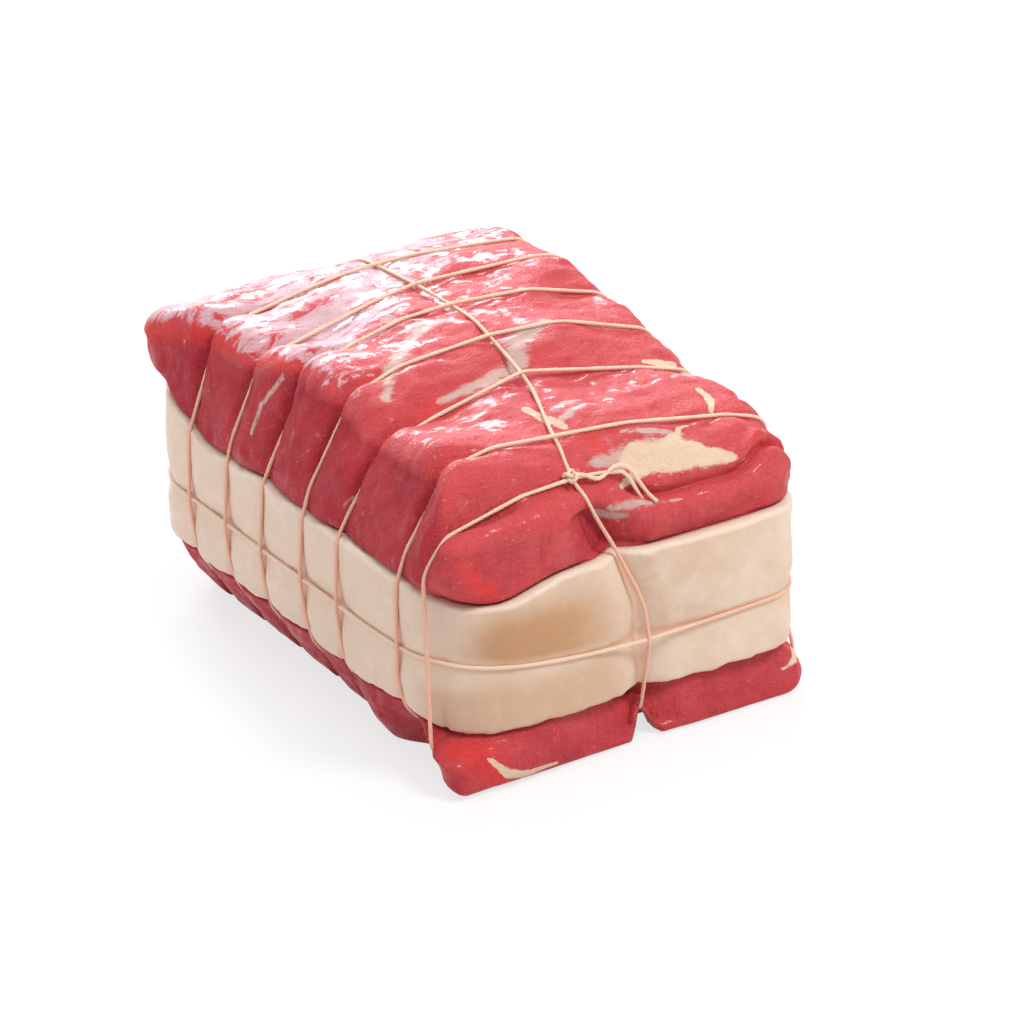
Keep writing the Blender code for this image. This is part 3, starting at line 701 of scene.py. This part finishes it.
def gridded_box(axis_lines):
    """A block whose faces carry the grid lines, as box coordinates and a bmesh."""
    mesh = bmesh.new()
    bmesh.ops.create_cube(mesh, size=1)
    for axis in range(3):
        along = [
            edge for edge in mesh.edges
            if abs(edge.verts[0].co[axis] - edge.verts[1].co[axis]) > 0.5
        ]
        cuts = len(axis_lines[axis]) - 2
        bmesh.ops.subdivide_edges(mesh, edges=along, cuts=cuts, use_grid_fill=True)
    places = np.array([vert.co[:] for vert in mesh.verts]) + 0.5
    box = np.empty_like(places)
    for axis, marks in enumerate(axis_lines):
        box[:, axis] = np.interp(places[:, axis], np.linspace(0, 1, len(marks)), marks)
    return mesh, box


def placed(name, data):
    """A new object at the origin, linked to the scene."""
    made = bpy.data.objects.new(name, data)
    bpy.context.scene.collection.objects.link(made)
    return made


def finish_piece(mesh, name, points, marks, material, replaced=()):
    """Puts the mesh at these places in millimetres, with its marks, and hands it to the frame."""
    layers = {key: mesh.verts.layers.float.new(key) for key in marks}
    for vert, point in zip(mesh.verts, points / 1000):
        vert.co = point
    for key, layer in layers.items():
        for vert, value in zip(mesh.verts, marks[key]):
            vert[layer] = value
    bmesh.ops.remove_doubles(mesh, verts=mesh.verts, dist=1e-6)
    bmesh.ops.recalc_face_normals(mesh, faces=mesh.faces)
    data = bpy.data.meshes.new(name)
    mesh.to_mesh(data)
    mesh.free()
    data.shade_smooth()
    data.materials.append(material)
    made = placed(name, data)
    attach(made, "root")
    if replaced:
        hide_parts(*replaced)
    return made


def make_meat(sizes, colours):
    cell = sizes.meat_cell
    # The cells are coarse behind the band and fine at its edges.
    z_lines = grid_lines((
        (0, cell), (BAND_BOTTOM - SHELF, SHELF / 3), (BAND_BOTTOM, cell),
        (BAND_BOTTOM + 4, 4), (BAND_TOP - 5, cell), (BAND_TOP, SHELF / 3),
        (BAND_TOP + SHELF, 0.85), (HEIGHT, cell),
    ))
    mesh, box = gridded_box((*plan_lines(cell), z_lines))
    points, normals = joint_form(box)
    swell = meat_swell(points, normals, box[:, 2])
    swell = swell + flesh_relief(points, normals, box[:, 2])
    points = notched(points + normals * swell[:, None])
    x, y, z = points.T
    # lit is painted light: paler on upward faces and at the near end, painted shade towards the
    # bottom, and partly the top's own paler red.
    near = smooth((-78 - y) / 10)
    lit = 0.30 + 0.62 * smooth((normals[:, 2] + 0.1) / 0.8) + 0.30 * near
    marks = {
        "lit": held(lit - 0.12 * smooth((18 - z) / 18)),
        # wet places both the coat and the painted highlight on the far-left top.
        "wet": smooth((y + 5 - 0.8 * x) / 55) * smooth(normals[:, 2] * 1.6 - 0.5),
        "fat": trails(points, FAT_TRAILS),
        "film": trails(points, FILM_TRAILS),
        "blush": trails(points, BLUSH_TRAILS),
    }
    material = meat_material(colours, sizes)
    finish_piece(mesh, "meat_cut", points + CENTRE_SHIFT, marks, material, ("meat",))


def walk_round(x_lines, y_lines):
    """The block's upright grid columns in order, as plan coordinates."""
    half_x, half_y = WIDTH / 2, LENGTH / 2
    front = [(x, -half_y) for x in x_lines[:-1]]
    right = [(half_x, y) for y in y_lines[:-1]]
    back = [(x, half_y) for x in x_lines[:0:-1]]
    left = [(-half_x, y) for y in y_lines[:0:-1]]
    return np.array(front + right + back + left)


def make_band(sizes, colours):
    """The strip of fat: an inner face behind, round rims, and the shown outer face."""
    cell = sizes.band_cell
    columns = walk_round(*plan_lines(cell))
    high, low = BAND_TOP - RIM, BAND_BOTTOM + RIM
    inner = grid_lines(((BAND_BOTTOM, 4), (BAND_TOP, 4)))
    outer = grid_lines(((low, cell), (high, cell)))
    turns = np.linspace(0, math.pi / 2, 5)[1:-1]
    profile = [(-BAND_THICKNESS, mark) for mark in inner]
    profile += [(-RIM - 1, BAND_TOP), (-RIM, BAND_TOP)]
    profile += [(-RIM + RIM * math.sin(t), high + RIM * math.cos(t)) for t in turns]
    profile += [(0, mark) for mark in outer[::-1]]
    profile += [(-RIM + RIM * math.cos(t), low - RIM * math.sin(t)) for t in turns]
    profile += [(-RIM, BAND_BOTTOM), (-RIM - 1, BAND_BOTTOM)]
    count, rows = len(columns), len(profile)
    mesh = bmesh.new()
    bmesh.ops.create_grid(mesh, x_segments=count, y_segments=rows, size=0.5)
    places = np.array([vert.co[:] for vert in mesh.verts]) + 0.5
    column = np.round(places[:, 0] * count).astype(int) % count
    row = np.round(places[:, 1] * rows).astype(int) % rows
    depth = np.array([part[0] for part in profile])[row]
    height = np.array([part[1] for part in profile])[row]
    box = np.column_stack([columns[column], height])
    points, normals = joint_form(box)
    swell = wall_swell(points, normals, box[:, 2])
    shown = smooth((depth + BAND_THICKNESS) / BAND_THICKNESS)
    uneven = 0.45 * relief(points, 11, 11) + 0.16 * relief(points, 3.2, 13)
    points = points + normals * (swell + depth + uneven * shown)[:, None]
    # The knife left both edges a little ragged.
    edge = smooth((np.abs(height - 41) - 15) / 6) * shown
    ragged = 0.55 * relief(points, 6, 17) + 0.35 * relief(points, 1.9, 19)
    points[:, 2] += edge * ragged
    material = fat_material(colours, sizes)
    marks = band_marks(points, normals, height, depth)
    finish_piece(mesh, "fat_wrap", points + CENTRE_SHIFT, marks, material, ("fat_band",))


def band_marks(points, normals, height, depth):
    """Where the band is stained beside its strings, pale at the rim, brown with painted shade at
    the near end, and pinker down the left, partly as painted shade.
    """
    x, y, z = points.T
    sideways = np.abs(normals[:, 0])
    girth = from_girths(y) + 40 * (1 - sideways)
    waist = np.abs(z - waist_height(x, y))
    line = from_line(x, y, z) + 40 * sideways
    beside = np.exp(-(np.minimum(np.minimum(girth, waist * 1.3), line) / 2.6) ** 2)
    near = smooth((-70 - y) / 12)
    # Painted shade, brown: under the rim above the waist string at the near end, and low on the
    # near end.
    under_rim = smooth((z - waist_height(x, y) + 1) / 5) * smooth((62 - z) / 16)
    near_painted_shade = near * under_rim * smooth((x + 64) / 22) * smooth((8 - x) / 40)
    low = near * smooth((36 - z) / 8) * smooth((12 - x) / 24)
    near_painted_shade = np.maximum(near_painted_shade, 0.42 * low)
    # Partly the left side's own pinker colour and partly painted shade on left-facing faces.
    left = smooth(-normals[:, 0] * 1.6 - 0.3)
    rim = np.maximum(smooth((height - BAND_TOP + 3) / 3), smooth((-depth - 0.3) / 1.2))
    return {"beside": beside, "near_painted_shade": near_painted_shade, "side": left, "rim": rim}


# ---- Strings: each lies over rays sent inwards, from OUTSIDE, to where they first meet ----

RAYS = 480
OUTSIDE = 200
FIRST_GUESS = 80


def tree_of(obj):
    mesh = bmesh.new()
    mesh.from_mesh(obj.data)
    tree = BVHTree.FromBMesh(mesh)
    mesh.free()
    return tree


def section(trees, centre, across, up, side, drift, width):
    """Points where rays towards centre first meet the joint, in the loop's own plane."""
    found = []
    for turn in np.linspace(0, math.tau, RAYS, endpoint=False):
        way = across * math.cos(turn) + up * math.sin(turn)
        far = 0
        for offset in (-width, 0, width):
            place = centre + way * FIRST_GUESS
            for _ in range(2):
                start = centre + way * OUTSIDE + side * (drift(place) + offset)
                hits = [tree.ray_cast(start / 1000, -way) for tree in trees]
                reach = OUTSIDE - min(hit[3] * 1000 for hit in hits if hit[0] is not None)
                place = centre + way * reach
            far = max(far, reach)
        found.append((far * math.cos(turn), far * math.sin(turn)))
    return found


def hull(points):
    """Corners of the convex outline of points, anticlockwise."""
    order = sorted({(round(u, 4), round(v, 4)) for u, v in points})
    outline = []
    for way in (order, order[::-1]):
        part = []
        for point in way:
            while len(part) > 1:
                (ax, ay), (bx, by) = part[-2], part[-1]
                if (bx - ax) * (point[1] - ay) - (by - ay) * (point[0] - ax) > 1e-9:
                    break
                part.pop()
            part.append(point)
        outline += part[:-1]
    return np.array(outline)


def evenly(points, spacing, looped):
    """Points resampled along their line at about this spacing."""
    line = np.vstack([points, points[:1]]) if looped else points
    total = np.concatenate([[0], np.cumsum(lengths(np.diff(line, axis=0)))])
    count = max(8, round(total[-1] / spacing))
    at = np.linspace(0, total[-1], count + 1)
    found = np.column_stack([np.interp(at, total, line[:, axis]) for axis in range(line.shape[1])])
    return found[:-1] if looped else found


def eased(points, passes, looped):
    """Corners rounded by averaging each point with its neighbours."""
    for _ in range(passes):
        if looped:
            points = (np.roll(points, 1, 0) + 2 * points + np.roll(points, -1, 0)) / 4
        else:
            points[1:-1] = (points[:-2] + 2 * points[1:-1] + points[2:]) / 4
    return points


def headings(path, looped):
    """The direction of the line at each of its points."""
    if looped:
        return unit(np.roll(path, -1, 0) - np.roll(path, 1, 0))
    return unit(np.gradient(path, axis=0))


def twisted(name, path, outward, sizes, material, looped, replaced=()):
    """A laid string along a path: three plies that turn round each other."""
    count, sides = len(path), sizes.string_sides
    spans = count if looped else count - 1
    mesh = bmesh.new()
    bmesh.ops.create_grid(mesh, x_segments=spans, y_segments=sides, size=0.5)
    places = np.array([vert.co[:2] for vert in mesh.verts]) + 0.5
    ring = np.round(places[:, 0] * spans).astype(int) % count
    turn = math.tau * (np.round(places[:, 1] * sides) % sides) / sides
    ahead = headings(path, looped)
    side = unit(np.cross(ahead, outward))
    over = np.cross(side, ahead)
    steps = np.diff(path, axis=0, append=path[:1])
    length = np.concatenate([[0], np.cumsum(lengths(steps))])
    turns = length[:-1] / sizes.string_lay
    if looped:
        turns = turns * round(length[-1] / sizes.string_lay) / (length[-1] / sizes.string_lay)
    lobe = np.cos(sizes.plies * (turn - math.tau * turns[ring]))
    uneven = 1 + 0.06 * np.sin(length[ring] / 3.1) + 0.04 * np.sin(length[ring] / 1.3 + 1)
    radius = sizes.string_diameter / 2 * (0.93 + 0.09 * lobe) * uneven
    points = path[ring] + radius[:, None] * (
        over[ring] * np.cos(turn)[:, None] + side[ring] * np.sin(turn)[:, None]
    )
    if not looped:
        for end in (0, count - 1):
            rim = {vert for vert, part in zip(mesh.verts, ring) if part == end}
            edges = [edge for edge in mesh.edges if rim.issuperset(edge.verts)]
            bmesh.ops.contextual_create(mesh, geom=edges)
    steep = 1 - np.abs(over[ring][:, 2])
    soaked = smooth((92 - points[:, 2]) / 26) * (0.35 + 0.65 * steep)
    if name == "string_waist":
        soaked = 0.1 + 0.6 * smooth((points[:, 0] + 10) / 50)
    # ply also places the painted shade in the grooves between the plies.
    marks = {"ply": lobe, "soaked": held(soaked)}
    return finish_piece(mesh, name, points, marks, material, replaced)


def string_loop(name, trees, centre, axes, drift, sizes, material):
    """A taut closed string, pressed a little way into the joint's section."""
    across, up, side = axes
    radius = sizes.string_diameter / 2
    outline = hull(section(trees, centre, across, up, side, drift, radius * 0.6))
    outline = eased(evenly(outline, 0.7, True), 10, True)
    ahead = headings(outline, True)
    out = np.column_stack([ahead[:, 1], -ahead[:, 0]])
    outline = outline + out * (radius - sizes.string_bite)
    flat = [centre + across * u + up * v for u, v in outline]
    path = np.array([place + side * drift(place) for place in flat])
    if name == "string_girth_1":
        buried = smooth((path[:, 0] - 1) / 9) * smooth((68 - path[:, 0]) / 8)
        path[:, 2] -= 11 * buried * smooth((path[:, 2] - 62) / 6)
    outward = np.array([across * u + up * v for u, v in out])
    return twisted(name, path, outward, sizes, material, True, (name,))


def drop(trees, x, y, clear):
    """The place above plan point x, y that stands clear of everything below it."""
    heights = []
    for across, along in ((0, 0), (-0.8, 0), (0.8, 0), (0, -0.8), (0, 0.8)):
        start = Vector((x + across, y + along, 300))
        hits = [tree.ray_cast(start / 1000, Vector((0, 0, -1))) for tree in trees]
        heights += [hit[0].z * 1000 for hit in hits if hit[0] is not None]
    return np.array((x, y, max(heights) + clear))


def single(function, *values):
    """One number from a function that works on arrays."""
    return float(function(*np.array(values)[:, None])[0])


# How far each kind of string drifts from its own plane at a place.


def straight(place):
    return 0


def slipped(place):
    return single(slip, place.x, GIRTHS[0] - 4, place.z)


def along_waist(place):
    x, y = place.x - CENTRE_SHIFT[0], place.y - CENTRE_SHIFT[1]
    return single(waist_height, x, y) - BAND_MIDDLE


def along_line(place):
    return single(line_shift, place.y - CENTRE_SHIFT[1], place.z)


X_AXIS, Y_AXIS, Z_AXIS = Vector((1, 0, 0)), Vector((0, 1, 0)), Vector((0, 0, 1))


# Each string in the order of tying: its name, middle, plane and drift.
TIES = [
    ("string_waist", (0, 0, BAND_MIDDLE), (X_AXIS, Y_AXIS, Z_AXIS), along_waist),
    ("string_length", (0, 0, 50), (Y_AXIS, Z_AXIS, X_AXIS), along_line),
]
TIES += [
    (f"string_girth_{number}", (0, girth, 45), (X_AXIS, Z_AXIS, -Y_AXIS),
     straight if number > 1 else slipped)
    for number, girth in enumerate(GIRTHS, 1)
]


def tie_strings(sizes, material):
    """Ties all the strings; the trees of what lies under the knot come back."""
    trees = [tree_of(bpy.data.objects[name]) for name in ("meat_cut", "fat_wrap")]
    girths = []
    for name, middle, axes, drift in TIES:
        centre = Vector(middle) + Vector(CENTRE_SHIFT)
        tied = string_loop(name, trees, centre, axes, drift, sizes, material)
        (girths if "girth" in name else trees).append(tree_of(tied))
    return trees + girths[:1]


def make_knot(trees, sizes, material):
    """An overhand knot on the first girth string, and the loose end that leaves it."""
    radius = sizes.string_diameter / 2
    plan = np.array(TAIL_PLAN) + CENTRE_SHIFT[:2]
    centre = drop(trees, *plan[0], 0.3)
    turn = np.linspace(0, math.tau, 72, endpoint=False)
    size = sizes.knot_size / 6
    path = centre + size * np.column_stack([
        np.sin(turn) + 2 * np.sin(2 * turn),
        1.1 * (np.cos(turn) - 2 * np.cos(2 * turn)),
        -1.3 * np.sin(3 * turn),
    ])
    outward = path - centre + np.array((0, 0, 0.4))
    twisted("string_knot", path, outward, sizes, material, True)
    path = [centre] + [drop(trees, x, y, radius) for x, y in plan[1:]]
    path = eased(evenly(np.array(path), 1.5, False), 4, False)
    path = evenly(path, 0.6, False)
    path[:, 2] += 1.2 * np.sin(np.linspace(0, math.pi, len(path)))
    outward = np.tile((0, 0, 1), (len(path), 1))
    twisted("string_tail", path, outward, sizes, material, False)


# ---- Sizes and colours that a user may change ----


def amount(name, text, default, **options):
    return FloatProperty(name=name, description=text, default=default, min=0.0, **options)


def tint(name, text, default):
    return FloatVectorProperty(
        name=name, description=text, default=default, size=3, subtype="COLOR", min=0.0, max=1.0
    )


class JointSizes(PropertyGroup):
    """Fineness and finish of the joint's pieces, in millimetres."""

    meat_cell: amount("Meat cell", "Mesh cell on the meat, in mm", 1.02)
    band_cell: amount("Fat cell", "Mesh cell on the fat, in mm", 1.0)
    string_diameter: amount("String", "String diameter, in mm", 1.25)
    string_bite: amount("Bite", "How far a string sinks in, in mm", 0.25)
    string_lay: amount("Lay", "Length of one full twist, in mm", 5.4)
    plies: IntProperty(name="Plies", description="Yarns in a string", default=3, min=2, max=6)
    string_sides: IntProperty(name="Sides", description="Faces round a string", default=12, min=6)
    knot_size: amount("Knot", "Width of the knot, in mm", 4.4)
    grain_depth: amount("Grain", "Depth of the meat's grain, in mm", 0.75)
    fat_depth: amount("Fat relief", "Depth of the fat's dents, in mm", 0.5)
    flesh_glow: amount("Glow", "Light that travels in the meat", 0.18)


class JointColours(PropertyGroup):
    """Colours of meat, fat and string."""

    # Top and walls: partly their own reds, partly painted light on the top and painted shade on the
    # walls.
    meat_top_tone_and_painted_light: tint("Meat, top", "Cut muscle seen from above", (0.66, 0.080, 0.086))
    meat_side_tone_and_painted_shade: tint("Meat, side", "Muscle on the walls", (0.43, 0.022, 0.041))
    meat_deep: tint("Meat, fibres", "Dark fibres", (0.36, 0.020, 0.032))
    meat_pale: tint("Meat, grain", "Pale ends of fibres", (0.72, 0.17, 0.15))
    blush: tint("Meat, bright", "Freshly cut, bright red meat", (0.76, 0.045, 0.042))
    marbling: tint("Marbling", "Small seams of fat", (0.80, 0.52, 0.42))
    silverskin: tint("Silverskin", "Film over the muscle", (0.66, 0.52, 0.47))
    kite_fat: tint("Seam fat", "Thick fat between muscles", (0.80, 0.66, 0.44))
    # A painted highlight on the far top.
    painted_highlight_colour: tint("Sheen", "Thin bluish skin on the top", (0.76, 0.68, 0.75))
    fat: tint("Fat", "The band of fat", (0.78, 0.63, 0.50))
    fat_shade: tint("Fat, warm", "Warmer fat in broad patches", (0.70, 0.50, 0.36))
    # Partly the left side's own pinker colour and partly painted shade.
    fat_left_tone_and_painted_shade: tint("Fat, side", "Pinker fat down the left", (0.74, 0.56, 0.45))
    fat_pale: tint("Fat, pale", "Pale fat at the rim", (0.82, 0.70, 0.60))
    # Painted shade at the near end: under the rim and low down.
    fat_painted_shade: tint("Fat, bruise", "Brownish stain under the rim", (0.52, 0.26, 0.11))
    fat_stain: tint("Fat, stain", "Juice beside the strings", (0.72, 0.34, 0.22))
    string_dry: tint("String, dry", "Cotton on the top", (0.84, 0.64, 0.48))
    string_soaked: tint("String, soaked", "Cotton that took up juice", (0.84, 0.47, 0.34))
    # Painted shade in the grooves between the plies.
    string_painted_groove_shade: tint("String, groove", "Between the plies", (0.62, 0.33, 0.23))


class StudioLight(PropertyGroup):
    """The floor and the lamps."""

    floor: tint("Floor", "Colour of the floor", (0.90, 0.90, 0.90))
    key_power: amount("Key", "Lamp above and in front", 6.0, unit="POWER")
    top_power: amount("Top", "Broad lamp overhead", 3.0, unit="POWER")
    left_power: amount("Left", "Broad lamp on the left", 2.2, unit="POWER")
    rim_power: amount("Rim", "Cool lamp behind", 24.0, unit="POWER")
    ambient: amount("Ambient", "Light from all round", 0.42)


# ---- Studio, in metres and degrees ----

FLOOR_HALF = 6.0
# Where the lamps point: the middle of the joint, or its top.
MIDDLE = (0.0, 0.0, 0.05)
TOP = (0.0, 0.02, 0.09)
WHITE = (1.0, 1.0, 1.0)
WARM = (1.0, 0.98, 0.95)
COOL = (0.88, 0.93, 1.0)
# Share of plain white in the floor as seen, and extra light in what the joint reflects.
FLOOR_GLOW = 0.72
GLOSSY_GLOW = 0.15
CAMERA_ANGLE = (-33.07, 25.0)
CAMERA_DISTANCE = 1.2089
CAMERA_TARGET = (0.0207, 0.0051, 0.0331)
LENS = 135.0


def aim(made, place, target):
    """Stands a lamp or the camera at a place, turned towards its target."""
    made.location = place
    made.rotation_euler = (Vector(target) - place).to_track_quat("-Z", "Y").to_euler()


def area_lamp(name, power, size, place, target=MIDDLE, colour=WHITE, length=None):
    data = bpy.data.lights.new(name, "AREA")
    data.energy = power
    data.color = colour
    data.shape = "RECTANGLE"
    data.size = size
    data.size_y = length or size
    aim(placed(name, data), place, target)


def from_angle(azimuth, elevation, distance):
    """A place at this distance from the joint; azimuth 0 is in front of the knotted end."""
    turn, rise = math.radians(azimuth), math.radians(elevation)
    flat = distance * math.cos(rise)
    return Vector((math.sin(turn) * flat, -math.cos(turn) * flat, distance * math.sin(rise)))


def make_camera():
    data = bpy.data.cameras.new("camera")
    data.lens = LENS
    data.sensor_width = 36.0
    camera = placed("camera", data)
    aim(camera, Vector(CAMERA_TARGET) + from_angle(*CAMERA_ANGLE, CAMERA_DISTANCE), CAMERA_TARGET)
    bpy.context.scene.camera = camera


def floor_material(colour):
    """A pale floor that the camera sees as white, with the joint's shadow left on it."""
    paint = Paint(bpy.data.materials.new("floor"))
    camera = paint.rays("Is Camera Ray")
    seen = camera.math("MAXIMUM", camera, paint.rays("Is Glossy Ray"))
    lit = paint.node("ShaderNodeBsdfDiffuse", {}, {"Color": colour})
    glow = paint.node("ShaderNodeEmission", {}, {"Color": WHITE, "Strength": 1.0})
    return paint.finish(paint.node("ShaderNodeMixShader", {}, (seen * FLOOR_GLOW, lit, glow)))


def make_world(ambient):
    """Even light all round, which the camera sees as white and reflections a little brighter."""
    paint = Paint(bpy.data.worlds.new("studio"), "ShaderNodeOutputWorld")
    seen = paint.rays("Is Glossy Ray") * GLOSSY_GLOW + paint.rays("Is Camera Ray")
    inputs = {"Value": seen, "To Min": ambient, "To Max": 1.0}
    level = paint.node("ShaderNodeMapRange", {}, inputs)
    light = paint.node("ShaderNodeBackground", {}, {"Color": WHITE, "Strength": level})
    bpy.context.scene.world = paint.finish(light)


# ---- Operators ----


class JOINT_OT_meat(Operator):
    """Model the rolled meat with its folds, seams and marbling"""

    bl_idname = "joint.meat"
    bl_label = "Meat"

    def execute(self, context):
        make_meat(context.scene.joint_sizes, context.scene.joint_colours)
        return {"FINISHED"}


class JOINT_OT_fat_band(Operator):
    """Model the band of fat that goes round all four sides"""

    bl_idname = "joint.fat_band"
    bl_label = "Fat band"

    def execute(self, context):
        make_band(context.scene.joint_sizes, context.scene.joint_colours)
        return {"FINISHED"}


class JOINT_OT_strings(Operator):
    """Tie the waist and lengthwise strings, the seven girths and the knot"""

    bl_idname = "joint.strings"
    bl_label = "Strings"

    def execute(self, context):
        sizes = context.scene.joint_sizes
        material = string_material(context.scene.joint_colours)
        make_knot(tie_strings(sizes, material), sizes, material)
        return {"FINISHED"}


class JOINT_OT_stage(Operator):
    """Set the floor, the lamps, the world and the camera"""

    bl_idname = "joint.stage"
    bl_label = "Studio"

    def execute(self, context):
        studio = context.scene.joint_studio
        mesh = bmesh.new()
        bmesh.ops.create_grid(mesh, x_segments=1, y_segments=1, size=FLOOR_HALF)
        data = bpy.data.meshes.new("floor")
        mesh.to_mesh(data)
        mesh.free()
        data.materials.append(floor_material(studio.floor))
        placed("floor", data)
        area_lamp("key", studio.key_power, 0.30, from_angle(25.0, 55.0, 1.1), MIDDLE, WARM)
        area_lamp("top", studio.top_power, 1.0, from_angle(-60.0, 80.0, 1.0))
        area_lamp("left", studio.left_power, 0.9, from_angle(-105.0, 28.0, 1.3))
        area_lamp("rim", studio.rim_power, 0.9, from_angle(160.0, 27.0, 1.4), TOP, COOL, 0.50)
        make_world(studio.ambient)
        make_camera()
        context.scene.view_settings.view_transform = "Standard"
        return {"FINISHED"}


class JOINT_PT_panel(Panel):
    """Lists the joint's pieces"""

    bl_idname = "JOINT_PT_panel"
    bl_label = "Rolled Beef Joint"
    bl_space_type = "VIEW_3D"
    bl_region_type = "UI"
    bl_category = "Joint"

    def draw(self, context):
        for operator in OPERATORS:
            self.layout.operator(operator.bl_idname)


OPERATORS = (JOINT_OT_meat, JOINT_OT_fat_band, JOINT_OT_strings, JOINT_OT_stage)
GROUPS = {"joint_sizes": JointSizes, "joint_colours": JointColours, "joint_studio": StudioLight}
CLASSES = (*GROUPS.values(), *OPERATORS, JOINT_PT_panel)


def register():
    for made in CLASSES:
        bpy.utils.register_class(made)
    for name, group in GROUPS.items():
        setattr(bpy.types.Scene, name, PointerProperty(type=group))


def unregister():
    for name in GROUPS:
        delattr(bpy.types.Scene, name)
    for made in reversed(CLASSES):
        bpy.utils.unregister_class(made)


def main():
    register()
    bpy.ops.joint.meat()
    bpy.ops.joint.fat_band()
    bpy.ops.joint.strings()
    bpy.ops.joint.stage()


if __name__ == "__main__":
    main()
